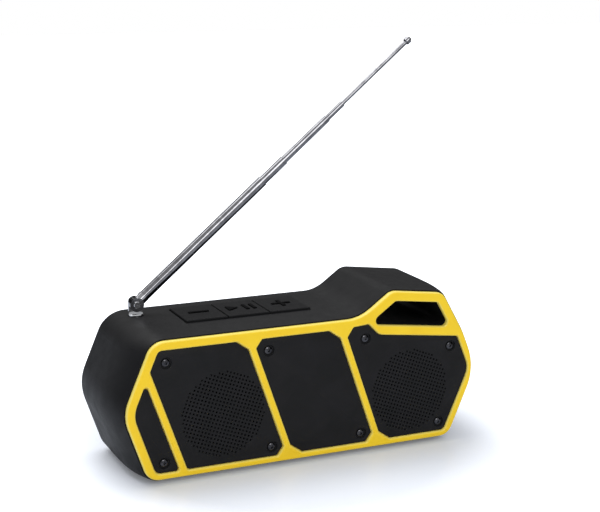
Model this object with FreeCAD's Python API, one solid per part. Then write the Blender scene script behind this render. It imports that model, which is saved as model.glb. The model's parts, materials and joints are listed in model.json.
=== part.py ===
import FreeCAD, Part

import math
import os

V = FreeCAD.Vector

# All sizes are millimetres. The pieces are drawn in the face frame: x runs across from the middle,
# y runs back from the front of the bezel, and z runs up from the bezel's bottom edge.
# The export moves them so that the origin lies on the ground under the middle of the body.

# Outline of the face
bottom_left_x = -107.0
bottom_right_x = 104.0
right_apex_x = 123.6
right_apex_z = 45.6
left_apex_x = -122.1
left_apex_z = 43.7
face_height = 88.2
top_left_x = -103.4
dip_x = 36.3
bump_left_x = 58.7
bump_left_rise = 16.0
bump_right_x = 96.9
bump_right_rise = 11.2
shoulder_x = 113.0
shoulder_drop = 16.9

# Rounding of the outline's corners
bottom_corner_radius = 10.0
apex_radius_left = 24.0
apex_radius_right = 36.0
shoulder_radius = 60.0
bump_radius = 9.0
dip_radius = 28.0
top_corner_radius = 12.0

# Body of the housing
body_depth = 80.0
rim_lip = 0.9
flare_depth = 47.0
belly_flare = 3.0
low_end_flare = 6.9
high_end_flare = 7.8
shoulder_flare = 6.0
bump_flare = 1.0
top_flare = 2.4
shell_wall = 2.6
back_edge_radius = 8.0
flare_steps = (0.1, 0.25, 0.45, 0.7, 1.0)
rounding_share = 0.98

# Bezel bars, windows and panels
bezel_thickness = 3.0
bezel_edge = 1.45
edge_share = 0.46
left_bar = 5.8
right_bar = 4.7
top_bar = 5.7
bottom_bar = 4.0
bump_bar = 6.4
shoulder_bar = 6.2
flank_bar = 7.4
grip_height = 16.2
grip_bar = 6.4
mullion_places = (-98.4, -26.6, 36.7)
mullion_lean = 19.5
mullion_width = 4.7
corner_cut = 6.0
window_radius = 1.6
window_round = 3.5
right_window_apex_radius = 14.0
panel_gap = 0.3
panel_thickness = 1.8
ledge_width = 1.2
ledge_thickness = 0.8
notch_peak_x = 42.6
notch_rise = 1.4
notch_radius = 8.0
grip_radius = 3.2

# Perforated fields over the loudspeakers
left_speaker_x = -57.6
left_speaker_z = 36.9
right_speaker_x = 73.9
right_speaker_z = 35.5
field_radius = 28.1
hole_pitch = 4.8
hole_side = 2.4
hole_turn = 21.0

# Panel screws
screw_recess_radius = 3.5
screw_recess_depth = 0.9
screw_head_radius = 2.7
screw_head_height = 1.3
screw_head_bevel = 0.7
screw_radius = 1.5
screw_length = 16.0
screw_clearance = 0.2
low_screw_z = 10.2
high_screw_drop = 14.0
low_screw_offset = 10.2
left_high_screw_offset = 14.4
right_high_screw_offset = 14.6
shoulder_screw_offset = 9.1
corner_screw_offset = 7.5
boss_radius = 3.6
boss_length = 18.0
boss_pilot_clearance = 0.05
screw_tip_room = 1.0
rib_thickness = 1.6

# Front baffle behind the bezel
baffle_thickness = 3.0
baffle_gap = 0.3
baffle_corner_radius = 4.0
duct_wall = 1.8

# Loudspeakers
flange_radius = 29.4
flange_thickness = 1.2
speaker_screw_inset = 1.5
speaker_screw_radius = 1.1
speaker_screw_length = 3.8
speaker_head_radius = 1.5
speaker_head_height = 1.1
speaker_screw_clearance = 0.1
baffle_hole_radius = 26.0
surround_outer_radius = 24.8
surround_thickness = 0.5
surround_gap = 0.3
roll_height = 1.5
roll_shoulder = 0.4
cone_radius = 21.4
cone_neck_radius = 8.9
cone_depth = 8.5
cone_thickness = 0.6
dust_cap_rise = 3.0
dust_cap_flat = 3.6
former_radius = 8.2
former_wall = 0.4
former_length = 7.4
coil_thickness = 0.3
coil_length = 2.6
basket_wall = 1.0
basket_depth = 14.0
basket_base_radius = 20.0
basket_window_radius = 4.2
top_plate_radius = 20.0
top_plate_thickness = 3.5
pole_radius = 7.2
pole_gap_radius = 9.1
magnet_radius = 22.5
magnet_bore_radius = 12.0
magnet_thickness = 9.0
yoke_thickness = 3.5

# Keys on the top
key_count = 3
key_left_x = -72.0
key_width = 28.0
key_gap = 0.6
key_front_y = 27.0
key_length = 33.0
key_rise = 1.3
key_skirt = 5.2
key_wall = 1.6
key_flange = 1.2
key_clearance = 0.3
key_edge = 0.8
key_travel = 0.4
key_stem_radius = 2.2
key_post_offset = 4.5
plunger_radius = 1.7
plunger_clearance = 0.08
plunger_rise = 0.8
plunger_sunk = 1.7
plunger_floor_room = 0.2
switch_side = 6.0
switch_height = 3.5
key_board_drop = 10.8
board_thickness = 1.6
board_screw_radius = 1.2
board_post_pilot = 6.0
board_screw_bite = 4.8
board_head_radius = 2.2
board_head_height = 1.4

# Telescopic antenna
antenna_x = -95.5
antenna_y = 57.0
pivot_rise = 7.3
antenna_lean = 40.1
lug_radius = 4.6
lug_thickness = 3.4
lug_gap = 0.06
collar_gap = 1.6
foot_flange_radius = 4.9
foot_flange_height = 1.6
foot_seat_depth = 0.5
foot_seat_clearance = 0.3
foot_chamfer = 0.4
stem_radius = 2.5
stem_clearance = 0.06
nut_radius = 4.6
nut_height = 3.0
nut_pad_radius = 6.5
nut_pad_height = 0.8
pivot_pin_radius = 1.3
pivot_head_radius = 2.3
pivot_head_height = 0.7
collar_radius = 3.7
collar_end = 7.5
arm_short = 1.0
arm_half_height = 1.3
spigot_length = 6.0
tube_radii = (3.5, 3.0, 2.5, 2.0, 1.4)
tube_wall = 0.35
tube_lengths = (106.8, 101.0, 99.5, 98.0, 97.0)
tube_showing = (106.8, 19.9, 40.2, 14.5, 60.0)
crimp_length = 1.5
tube_clearance = 0.06
sleeve_length = 5.0
tip_radius = 2.4
tip_length = 4.8
tip_bevel = 0.8
tip_crown = 1.5

# Sockets, switch and board at the back
board_left_x = 22.0
board_right_x = 98.0
board_front_y = 38.0
board_z = 22.0
post_radius = 3.0
post_inset = 5.0
post_row_back = 15.0
port_recess_depth = 2.2
port_recess_low_z = 17.6
port_recess_high_z = 35.6
port_recess_left_x = 41.0
port_recess_right_x = 96.0
port_pad = 2.4
socket_set_back = 0.3
jack_x = 49.0
jack_radius = 1.8
jack_body_side = 6.4
jack_nose_radius = 3.0
jack_length = 13.0
jack_bore_depth = 12.0
charge_x = 60.5
charge_width = 8.9
charge_height = 3.2
charge_depth = 7.5
charge_wall = 0.3
charge_tongue = 0.7
card_x = 72.0
card_width = 12.6
card_height = 2.2
card_depth = 14.0
card_wall = 0.5
usb_x = 86.5
usb_width = 13.2
usb_height = 5.8
usb_depth = 14.0
usb_wall = 0.35
usb_tongue = 1.8
tongue_set_back = 0.7
socket_gap = 0.4
switch_x = 30.5
switch_body_width = 9.0
switch_body_height = 5.0
switch_body_depth = 6.0
knob_width = 3.0
knob_travel = 3.0
knob_height = 3.4
knob_reach = 0.8
lever_side = 1.6
lever_depth = 1.2
lever_gap = 0.1

# Door over the sockets
door_gap = 0.35
door_thickness = 2.0
door_barrel_radius = 1.0
trunnion_radius = 0.6
trunnion_length = 1.0
trunnion_clearance = 0.06
tab_width = 8.0
tab_depth = 0.6
tab_height = 2.2

# Battery behind the centre panel
cell_radius = 9.2
cell_length = 65.0
cell_x = -22.0
cell_back_offset = 19.0
tray_wall = 1.5
tray_gap = 0.3
contact_thickness = 0.5
contact_side = 7.0

# Solar panel in the back wall
solar_left_x = -98.0
solar_right_x = 12.0
solar_low_z = 14.0
solar_high_z = 76.0
solar_recess = 2.6
solar_board_thickness = 1.4
solar_window_thickness = 1.2
solar_gap = 0.3
solar_radius = 3.0
pad_border = 4.0

# Feet
foot_radius = 6.0
foot_proud = 1.0
foot_sunk = 0.8
foot_bevel = 0.5
foot_spread_x = 80.0
foot_front_y = 26.0
foot_back_y = 66.0

# Sizes that follow from the ones above
shell_top_z = face_height + top_flare
shell_top_inside_z = shell_top_z - shell_wall
shell_bottom_z = -belly_flare
shell_floor_z = shell_bottom_z + shell_wall
back_inside_y = body_depth - shell_wall
ground_z = shell_bottom_z - foot_proud
panel_front_y = bezel_thickness - panel_thickness
baffle_front_y = bezel_thickness
baffle_back_y = baffle_front_y + baffle_thickness
key_board_top_z = shell_top_z - key_board_drop
pivot_z = shell_top_z + pivot_rise
nut_seat_z = shell_top_inside_z - nut_pad_height


# Geometry helpers

def side_between(start, end):
    """A side of an outline: a point on it and its unit direction. The outside is on its right."""
    return start, (end - start).normalize()


def moved_out(side, distance):
    """The side moved outwards by a distance, or inwards by a negative one."""
    point, direction = side
    outward = V(direction.z, 0, -direction.x)
    return point + outward * distance, direction


def turned_round(side):
    """The same line walked the other way, so that its outside is the other one."""
    return side[0], side[1] * -1


def meeting(first, second):
    """Point in the x-z plane where two sides cross."""
    point, along = first
    other, across = second
    gap = other - point
    determinant = along.z * across.x - along.x * across.z
    reach = (gap.z * across.x - gap.x * across.z) / determinant
    return point + along * reach


def corners_of(sides):
    """Corners of a closed outline, each where a side meets the one before it."""
    return [meeting(sides[index - 1], side) for index, side in enumerate(sides)]


def with_cut(corners, index, before, after):
    """The corners with one replaced by a straight cut that starts and ends at two distances from it."""
    corner = corners[index]
    back = (corners[index - 1] - corner).normalize()
    ahead = (corners[(index + 1) % len(corners)] - corner).normalize()
    return corners[:index] + [corner + back * before, corner + ahead * after] + corners[index + 1:]


def half_angle(corners, index):
    """Half of the angle between the two sides that meet at a corner."""
    back = corners[index - 1] - corners[index]
    ahead = corners[(index + 1) % len(corners)] - corners[index]
    return back.getAngle(ahead) / 2


def corner_reaches(corners, radii):
    """How far each rounding reaches along its sides. Two that don't fit on one side both get smaller."""
    count = len(corners)
    reaches = [radii[index] / math.tan(half_angle(corners, index)) for index in range(count)]
    shares = []
    for index in range(count):
        side = (corners[(index + 1) % count] - corners[index]).Length
        shares.append(min(1.0, rounding_share * side / (reaches[index] + reaches[(index + 1) % count])))
    return [reach * min(shares[index - 1], shares[index]) for index, reach in enumerate(reaches)]


def rounded_wire(corners, radii, y):
    """Closed wire at depth y with straight sides and an arc at each corner."""
    count = len(corners)
    reaches = corner_reaches(corners, radii)
    arcs = []
    for index, corner in enumerate(corners):
        back = (corners[index - 1] - corner).normalize()
        ahead = (corners[(index + 1) % count] - corner).normalize()
        half = half_angle(corners, index)
        reach = reaches[index]
        radius = reach * math.tan(half)
        middle = corner + (back + ahead).normalize() * (radius / math.sin(half) - radius)
        arcs.append([V(p.x, y, p.z) for p in (corner + back * reach, middle, corner + ahead * reach)])
    edges = []
    for index, (start, middle, end) in enumerate(arcs):
        edges.append(Part.Arc(start, middle, end).toShape())
        edges.append(Part.LineSegment(end, arcs[(index + 1) % count][0]).toShape())
    return Part.Wire(edges)


def plate(corners, radii, front, back):
    """Flat plate between two depths with a rounded outline."""
    if not isinstance(radii, (list, tuple)):
        radii = [radii] * len(corners)
    return Part.Face(rounded_wire(corners, radii, front)).extrude(V(0, back - front, 0))


def block(left, right, front, back, low, high):
    """Rectangular block between pairs of x, y and z."""
    return Part.makeBox(right - left, back - front, high - low, V(left, front, low))


def turned(profile, x, z):
    """Solid turned about the line along y through x, z, from a profile of radius and depth pairs."""
    points = [V(radius, depth, 0) for radius, depth in profile]
    face = Part.Face(Part.makePolygon(points + points[:1]))
    solid = face.revolve(V(0, 0, 0), V(0, 1, 0), 360)
    return solid.translated(V(x, 0, z))


def rod_y(x, z, radius, front, back):
    """Cylinder along y."""
    return Part.makeCylinder(radius, back - front, V(x, front, z), V(0, 1, 0))


def rod_z(x, y, radius, low, high):
    """Upright cylinder."""
    return Part.makeCylinder(radius, high - low, V(x, y, low), V(0, 0, 1))


def across_rod(left, right, y, z, radius):
    """Cylinder along x."""
    return Part.makeCylinder(radius, right - left, V(left, y, z), V(1, 0, 0))


def joined(shapes):
    """One solid fused from several that touch or overlap."""
    return shapes[0].multiFuse(shapes[1:]).removeSplitter()


def group(shapes):
    """Separate solids kept in one node."""
    return Part.makeCompound(shapes)


# Outline of the face, walked with the outside on the right

bottom_left = V(bottom_left_x, 0, 0)
bottom_right = V(bottom_right_x, 0, 0)
right_apex = V(right_apex_x, 0, right_apex_z)
shoulder = V(shoulder_x, 0, face_height - shoulder_drop)
bump_right = V(bump_right_x, 0, face_height + bump_right_rise)
bump_left = V(bump_left_x, 0, face_height + bump_left_rise)
dip = V(dip_x, 0, face_height)
top_left = V(top_left_x, 0, face_height)
left_apex = V(left_apex_x, 0, left_apex_z)

bottom_side = side_between(bottom_left, bottom_right)
low_right_side = side_between(bottom_right, right_apex)
high_right_side = side_between(right_apex, shoulder)
shoulder_side = side_between(shoulder, bump_right)
bump_side = side_between(bump_right, bump_left)
flank_side = side_between(bump_left, dip)
top_side = side_between(dip, top_left)
high_left_side = side_between(top_left, left_apex)
low_left_side = side_between(left_apex, bottom_left)

# Each side of the housing with its flare and the rounding of the corner that it starts from.
# A hollow corner has a minus sign, because it tightens as the outline grows.
housing_sides = (
    (bottom_side, belly_flare, bottom_corner_radius),
    (low_right_side, low_end_flare, bottom_corner_radius),
    (high_right_side, low_end_flare, apex_radius_right),
    (shoulder_side, shoulder_flare, shoulder_radius),
    (bump_side, bump_flare, bump_radius),
    (flank_side, bump_flare, bump_radius),
    (top_side, top_flare, -dip_radius),
    (high_left_side, high_end_flare, top_corner_radius),
    (low_left_side, low_end_flare, apex_radius_left),
)


def flare_share(y):
    """Share of the full flare that the housing has reached at depth y."""
    part_way = min(max((y - bezel_thickness) / flare_depth, 0.0), 1.0)
    return 1.0 - (1.0 - part_way) ** 3


def housing_outline(y, inset):
    """Corners and radii of the housing's outline at depth y, set in by a wall or a gap."""
    share = flare_share(y)
    sides = []
    growths = []
    for side, flare, _ in housing_sides:
        growth = rim_lip + (flare - rim_lip) * share - inset
        sides.append(moved_out(side, growth))
        growths.append(growth)
    radii = []
    for (_, _, radius), growth in zip(housing_sides, growths):
        radii.append(max(abs(radius + growth), 1.0))
    return corners_of(sides), radii


def housing_body(front, back, inset, edge_radius, faceted):
    """Solid inside the housing's outline: flared in front, then straight with a rounded back edge."""
    depths = [front] + [bezel_thickness + flare_depth * step for step in flare_steps]
    wires = [rounded_wire(*housing_outline(y, inset), y) for y in depths]
    flared = Part.makeLoft(wires, True, faceted)
    straight = Part.Face(wires[-1]).extrude(V(0, back - depths[-1], 0))
    rim = [edge for edge in straight.Edges if all(abs(v.Y - back) < 0.001 for v in edge.Vertexes)]
    return flared.fuse(straight.makeFillet(edge_radius, rim))


def mullion_edge(index, upwards):
    """Side of a window along a mullion: walked up on the window's right, or down on its left."""
    lean = math.radians(mullion_lean)
    middle = V(mullion_places[index], 0, face_height / 2)
    way = 1 if upwards else -1
    return moved_out((middle, V(-math.sin(lean), 0, math.cos(lean)) * way), -mullion_width / 2)


def mullion_x(index, z):
    """Where a mullion's middle stands at height z."""
    return mullion_places[index] + (face_height / 2 - z) * math.tan(math.radians(mullion_lean))


def top_surface_z(y):
    """Height of the housing's flat top at depth y."""
    return face_height + rim_lip + (top_flare - rim_lip) * flare_share(y)


# Outlines of the openings in the bezel. Each is a function of how far it is set in from the bars.

def set_in(sides, inset):
    """Corners of a closed outline with every side moved inwards."""
    return corners_of([moved_out(side, -inset) for side in sides])


window_floor = moved_out(bottom_side, -bottom_bar)
window_ceiling = moved_out(top_side, -top_bar)
grip_floor = moved_out(turned_round(bump_side), bump_bar + grip_height)
grip_bar_underside = moved_out(bump_side, -(bump_bar + grip_height + grip_bar))


def badge_outline(inset):
    """Narrow window at the left end."""
    corners = set_in([
        window_floor,
        mullion_edge(0, True),
        moved_out(high_left_side, -left_bar),
        moved_out(low_left_side, -left_bar),
    ], inset)
    low_radius = bottom_corner_radius - left_bar
    return corners, [low_radius, window_radius, window_radius, apex_radius_left - left_bar]


def left_grille_outline(inset):
    """Window over the left loudspeaker."""
    corners = set_in([
        window_floor,
        mullion_edge(1, True),
        window_ceiling,
        moved_out(high_left_side, -left_bar),
        mullion_edge(0, False),
    ], inset)
    corners = with_cut(corners, 2, corner_cut, corner_cut)
    corners = with_cut(corners, 1, corner_cut, corner_cut)
    return corners, [window_radius] * 5 + [window_round, window_radius]


def centre_outline(inset):
    """Window between the loudspeakers."""
    corners = set_in([
        window_floor,
        mullion_edge(2, True),
        window_ceiling,
        mullion_edge(1, False),
    ], inset)
    for index in (3, 2, 1, 0):
        corners = with_cut(corners, index, corner_cut, corner_cut)
    return corners, [window_radius] * 8


def right_grille_outline(inset):
    """Window over the right loudspeaker, with a notch that rises beside the finger opening."""
    peak = V(notch_peak_x, 0, face_height - top_bar + notch_rise)
    notch_end = meeting(window_ceiling, mullion_edge(2, False))
    corners = set_in([
        window_floor,
        moved_out(low_right_side, -right_bar),
        moved_out(high_right_side, -right_bar),
        grip_bar_underside,
        (peak, V(-1, 0, 1).normalize()),
        side_between(peak, notch_end),
        mullion_edge(2, False),
    ], inset)
    corners = with_cut(corners, 6, corner_cut, corner_cut)
    corners = with_cut(corners, 0, corner_cut, corner_cut)
    radii = [
        window_radius,
        window_radius,
        window_round,
        right_window_apex_radius,
        window_radius,
        notch_radius,
        window_radius,
        window_radius,
        window_radius,
    ]
    return corners, radii


def grip_outline(outset):
    """Finger opening in the raised right end, set out by a wall."""
    corners = set_in([
        grip_floor,
        moved_out(shoulder_side, -shoulder_bar),
        moved_out(bump_side, -bump_bar),
        moved_out(flank_side, -flank_bar),
    ], -outset)
    return corners, [grip_radius + outset] * 4


panel_outlines = {
    "badge_plate": badge_outline,
    "left_grille": left_grille_outline,
    "centre_panel": centre_outline,
    "right_grille": right_grille_outline,
}

# Places of the panel screws, each under the panel that it holds

high_screw_z = face_height - high_screw_drop
panel_screw_places = {
    "badge_plate": [
        (mullion_x(0, low_screw_z) - low_screw_offset, low_screw_z),
    ],
    "left_grille": [
        (mullion_x(0, high_screw_z) + left_high_screw_offset, high_screw_z),
        (mullion_x(1, low_screw_z) - low_screw_offset, low_screw_z),
    ],
    "centre_panel": [
        (mullion_x(1, high_screw_z) + low_screw_offset, high_screw_z),
        (mullion_x(2, low_screw_z) - low_screw_offset, low_screw_z),
    ],
    "right_grille": [
        (mullion_x(2, high_screw_z) + right_high_screw_offset, high_screw_z),
        (shoulder_x - shoulder_screw_offset, face_height - shoulder_drop - shoulder_screw_offset),
        (bottom_right_x - corner_screw_offset, low_screw_z),
    ],
}
all_screw_places = [place for places in panel_screw_places.values() for place in places]

speaker_places = {
    "left": (left_speaker_x, left_speaker_z),
    "right": (right_speaker_x, right_speaker_z),
}
speaker_screw_angles = (45, 135, 225, 315)


def speaker_screw_places(x, z):
    """Places of the four screws round a loudspeaker, in from the flange's edge."""
    reach = flange_radius - speaker_screw_inset
    places = []
    for angle in speaker_screw_angles:
        turn = math.radians(angle)
        places.append((x + reach * math.cos(turn), z + reach * math.sin(turn)))
    return places


# Front of the radio

bezel_corners = corners_of([side for side, _, _ in housing_sides])
bezel_radii = [abs(radius) for _, _, radius in housing_sides]


def bar_edge():
    """Rounding of the bars' front edges, which the narrowest bar limits."""
    loops = [rounded_wire(bezel_corners, bezel_radii, 0), rounded_wire(*grip_outline(0), 0)]
    loops += [rounded_wire(*outline(0), 0) for outline in panel_outlines.values()]
    widths = [loop.distToShape(other)[0] for index, loop in enumerate(loops) for other in loops[:index]]
    return min(bezel_edge, min(widths) * edge_share)


def front_bezel():
    """Yellow frame with three leaning mullions, rounded front edges and ledges for the panels."""
    frame = plate(bezel_corners, bezel_radii, 0, bezel_thickness)
    ledge_y = bezel_thickness - ledge_thickness
    for outline in panel_outlines.values():
        frame = frame.cut(plate(*outline(0), 0, ledge_y))
    frame = frame.cut(plate(*grip_outline(0), 0, bezel_thickness))
    front_edges = [edge for edge in frame.Edges if all(abs(v.Y) < 0.001 for v in edge.Vertexes)]
    frame = frame.makeFillet(bar_edge(), front_edges)
    for outline in panel_outlines.values():
        frame = frame.cut(plate(*outline(ledge_width), ledge_y, bezel_thickness))
    return frame


def screw_seat(x, z):
    """Round recess and clearance hole for a panel screw."""
    recess = rod_y(x, z, screw_recess_radius, panel_front_y, panel_front_y + screw_recess_depth)
    hole = rod_y(x, z, screw_radius + screw_clearance, panel_front_y, bezel_thickness)
    return recess.fuse(hole)


def plain_panel(name):
    """Panel that drops into its window, lies on the ledge and reaches the baffle."""
    outline = panel_outlines[name]
    ledge_y = bezel_thickness - ledge_thickness
    front = plate(*outline(panel_gap), panel_front_y, ledge_y)
    back = plate(*outline(ledge_width + panel_gap), ledge_y, bezel_thickness)
    panel = front.fuse(back).removeSplitter()
    for x, z in panel_screw_places[name]:
        panel = panel.cut(screw_seat(x, z))
    return panel


def perforation(x, z):
    """Square holes on a turned square grid inside a round field."""
    turn = math.radians(-hole_turn)
    reach = int(field_radius / hole_pitch) + 1
    half = hole_side / 2
    hole = block(-half, half, panel_front_y, bezel_thickness, -half, half)
    hole.rotate(V(0, 0, 0), V(0, 1, 0), hole_turn)
    holes = []
    for row in range(-reach, reach + 1):
        for column in range(-reach, reach + 1):
            across = column * hole_pitch
            up = row * hole_pitch
            if math.hypot(across, up) <= field_radius - half:
                holes.append(hole.translated(V(
                    x + across * math.cos(turn) - up * math.sin(turn),
                    0,
                    z + across * math.sin(turn) + up * math.cos(turn),
                )))
    return group(holes)


def grille(name, side):
    """Panel with the perforated field of one loudspeaker."""
    return plain_panel(name).cut(perforation(*speaker_places[side]))


def panel_screw(x, z):
    """Pan-head screw, its head in the recess of the panel."""
    seat_y = panel_front_y + screw_recess_depth
    top_y = seat_y - screw_head_height
    profile = [
        (0, top_y),
        (screw_head_radius - screw_head_bevel, top_y),
        (screw_head_radius, top_y + screw_head_bevel),
        (screw_head_radius, seat_y),
        (screw_radius, seat_y),
        (screw_radius, seat_y + screw_length),
        (0, seat_y + screw_length),
    ]
    return turned(profile, x, z)


def front_baffle():
    """Plate behind the bezel that carries the loudspeakers. It ends under the finger opening."""
    corners, radii = housing_outline(bezel_thickness, shell_wall + baffle_gap)
    baffle = plate(corners, radii, baffle_front_y, baffle_back_y)
    clear_line = moved_out(grip_floor, duct_wall + baffle_gap)
    far = V(right_apex_x, 0, right_apex_z).Length * 2
    lift = V(0, 0, far)
    low_left = meeting(clear_line, (V(dip_x, 0, 0), V(0, 0, 1)))
    low_right = meeting(clear_line, (V(far, 0, 0), V(0, 0, 1)))
    corner = [low_left, low_right, low_right + lift, low_left + lift]
    baffle = baffle.cut(plate(corner, baffle_corner_radius, baffle_front_y, baffle_back_y))
    holes = []
    for x, z in speaker_places.values():
        holes.append(rod_y(x, z, baffle_hole_radius, baffle_front_y, baffle_back_y))
        for screw_x, screw_z in speaker_screw_places(x, z):
            pilot_radius = speaker_screw_radius + speaker_screw_clearance
            holes.append(rod_y(screw_x, screw_z, pilot_radius, baffle_front_y, baffle_back_y))
    for x, z in all_screw_places:
        holes.append(rod_y(x, z, screw_radius + screw_clearance, baffle_front_y, baffle_back_y))
    return baffle.cut(group(holes))


# Loudspeakers

surround_back_y = baffle_back_y + surround_thickness
flange_back_y = surround_back_y + flange_thickness
basket_back_y = surround_back_y + basket_depth
top_plate_back_y = basket_back_y + top_plate_thickness
magnet_back_y = top_plate_back_y + magnet_thickness
yoke_back_y = magnet_back_y + yoke_thickness
neck_y = surround_back_y + cone_depth
former_back_y = neck_y + former_length


def speaker_basket(x, z):
    """Pressed basket: flange, tapering wall with round windows and a ring that holds the magnet."""
    profile = [
        (surround_outer_radius, surround_back_y),
        (flange_radius, surround_back_y),
        (flange_radius, flange_back_y),
        (surround_outer_radius + basket_wall, flange_back_y),
        (basket_base_radius, basket_back_y),
        (pole_gap_radius + basket_wall, basket_back_y),
        (pole_gap_radius + basket_wall, basket_back_y - basket_wall),
        (basket_base_radius - basket_wall, basket_back_y - basket_wall),
        (surround_outer_radius, flange_back_y),
    ]
    basket = turned(profile, x, z)
    middle_y = (flange_back_y + basket_back_y) / 2
    across = across_rod(x - flange_radius, x + flange_radius, middle_y, z, basket_window_radius)
    upright = rod_z(x, middle_y, basket_window_radius, z - flange_radius, z + flange_radius)
    holes = [across, upright]
    for screw_x, screw_z in speaker_screw_places(x, z):
        hole_radius = speaker_screw_radius + speaker_screw_clearance
        holes.append(rod_y(screw_x, screw_z, hole_radius, surround_back_y, flange_back_y))
    return basket.cut(group(holes))


def speaker_surround(x, z):
    """Rubber surround: flat rim under the flange and a raised roll that ends just outside the cone."""
    front_y = baffle_back_y
    top_y = front_y - roll_height
    inner = cone_radius + surround_gap
    profile = [
        (flange_radius, surround_back_y),
        (flange_radius, front_y),
        (surround_outer_radius, front_y),
        (surround_outer_radius - roll_shoulder, top_y),
        (inner + roll_shoulder, top_y),
        (inner, front_y),
        (inner, surround_back_y),
        (inner + surround_thickness, surround_back_y),
        (inner + roll_shoulder + surround_thickness, top_y + surround_thickness),
        (surround_outer_radius - roll_shoulder - surround_thickness, top_y + surround_thickness),
        (surround_outer_radius - surround_thickness, surround_back_y),
    ]
    surround = turned(profile, x, z)
    holes = []
    for screw_x, screw_z in speaker_screw_places(x, z):
        hole_radius = speaker_screw_radius + speaker_screw_clearance
        holes.append(rod_y(screw_x, screw_z, hole_radius, front_y, surround_back_y))
    return surround.cut(group(holes))


def speaker_cone(x, z):
    """Paper cone with a domed dust cap over its neck."""
    cap_y = neck_y - dust_cap_rise
    profile = [
        (cone_radius, surround_back_y),
        (cone_neck_radius, neck_y - cone_thickness),
        (dust_cap_flat, cap_y),
        (0, cap_y),
        (0, cap_y + cone_thickness),
        (dust_cap_flat, cap_y + cone_thickness),
        (former_radius - former_wall, neck_y),
        (cone_neck_radius, neck_y),
        (cone_radius, surround_back_y + cone_thickness),
    ]
    return turned(profile, x, z)


def voice_coil(x, z):
    """Former glued to the cone's neck, with the winding at its far end."""
    profile = [
        (former_radius - former_wall, neck_y),
        (former_radius, neck_y),
        (former_radius, former_back_y - coil_length),
        (former_radius + coil_thickness, former_back_y - coil_length),
        (former_radius + coil_thickness, former_back_y),
        (former_radius - former_wall, former_back_y),
    ]
    return turned(profile, x, z)


def speaker_top_plate(x, z):
    """Steel washer in front of the magnet."""
    return turned([
        (pole_gap_radius, basket_back_y),
        (top_plate_radius, basket_back_y),
        (top_plate_radius, top_plate_back_y),
        (pole_gap_radius, top_plate_back_y),
    ], x, z)


def speaker_magnet(x, z):
    """Ferrite ring."""
    return turned([
        (magnet_bore_radius, top_plate_back_y),
        (magnet_radius, top_plate_back_y),
        (magnet_radius, magnet_back_y),
        (magnet_bore_radius, magnet_back_y),
    ], x, z)


def speaker_yoke(x, z):
    """Back plate with the pole that stands in the magnet's bore."""
    return turned([
        (0, basket_back_y),
        (pole_radius, basket_back_y),
        (pole_radius, magnet_back_y),
        (top_plate_radius, magnet_back_y),
        (top_plate_radius, yoke_back_y),
        (0, yoke_back_y),
    ], x, z)


def speaker_screw(x, z):
    """Small screw through the flange into the baffle, its head behind the flange."""
    head = rod_y(x, z, speaker_head_radius, flange_back_y, flange_back_y + speaker_head_height)
    shank = rod_y(x, z, speaker_screw_radius, flange_back_y - speaker_screw_length, flange_back_y)
    return head.fuse(shank)


# Housing

def screw_boss(x, z):
    """Boss behind the baffle for a panel screw, tied to the nearest wall by an upright rib."""
    back_y = baffle_back_y + boss_length
    far_z = -face_height if z < face_height / 2 else 2 * face_height
    low, high = sorted((z, far_z))
    rib = block(x - rib_thickness / 2, x + rib_thickness / 2, baffle_back_y, back_y, low, high)
    return rod_y(x, z, boss_radius, baffle_back_y, back_y).fuse(rib)


board_back_y = back_inside_y - port_pad
board_posts = [
    (x, y)
    for x in (board_left_x + post_inset, board_right_x - post_inset)
    for y in (board_front_y + post_inset, board_back_y - post_row_back)
]
key_right_x = key_left_x + key_count * key_width + (key_count - 1) * key_gap
key_back_y = key_front_y + key_length
key_posts = [(key_left_x - key_post_offset, (key_front_y + key_back_y) / 2),
             (key_right_x + key_post_offset, (key_front_y + key_back_y) / 2)]
foot_places = [(x, y) for x in (-foot_spread_x, foot_spread_x) for y in (foot_front_y, foot_back_y)]
recess_floor_y = body_depth - port_recess_depth
solar_floor_y = body_depth - solar_recess
door_axis_y = body_depth - door_thickness / 2
door_axis_z = port_recess_low_z + door_gap + door_barrel_radius
board_top_z = board_z + board_thickness
switch_z = board_top_z + switch_body_height / 2
knob_x = switch_x - knob_travel / 2


def solar_corners(inset):
    """Rectangle of the solar panel's recess, set in by a gap."""
    return [
        V(solar_left_x + inset, 0, solar_low_z + inset),
        V(solar_right_x - inset, 0, solar_low_z + inset),
        V(solar_right_x - inset, 0, solar_high_z - inset),
        V(solar_left_x + inset, 0, solar_high_z - inset),
    ]


def shell_additions():
    """Bosses, posts, duct and thickened pads inside the housing, before they are trimmed to it."""
    shapes = [screw_boss(x, z) for x, z in all_screw_places]
    shapes.append(plate(*grip_outline(duct_wall), bezel_thickness, body_depth))
    shapes.append(rod_z(antenna_x, antenna_y, nut_pad_radius, nut_seat_z, shell_top_z))
    shapes += [rod_z(x, y, post_radius, shell_bottom_z, board_z) for x, y in board_posts]
    shapes += [rod_z(x, y, post_radius, key_board_top_z, shell_top_z) for x, y in key_posts]
    shapes.append(block(
        port_recess_left_x - pad_border, port_recess_right_x + pad_border,
        back_inside_y - port_pad, back_inside_y,
        port_recess_low_z - pad_border, port_recess_high_z + pad_border))
    shapes.append(plate(solar_corners(-pad_border), solar_radius + pad_border,
                        solar_floor_y - shell_wall, back_inside_y))
    return shapes


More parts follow.
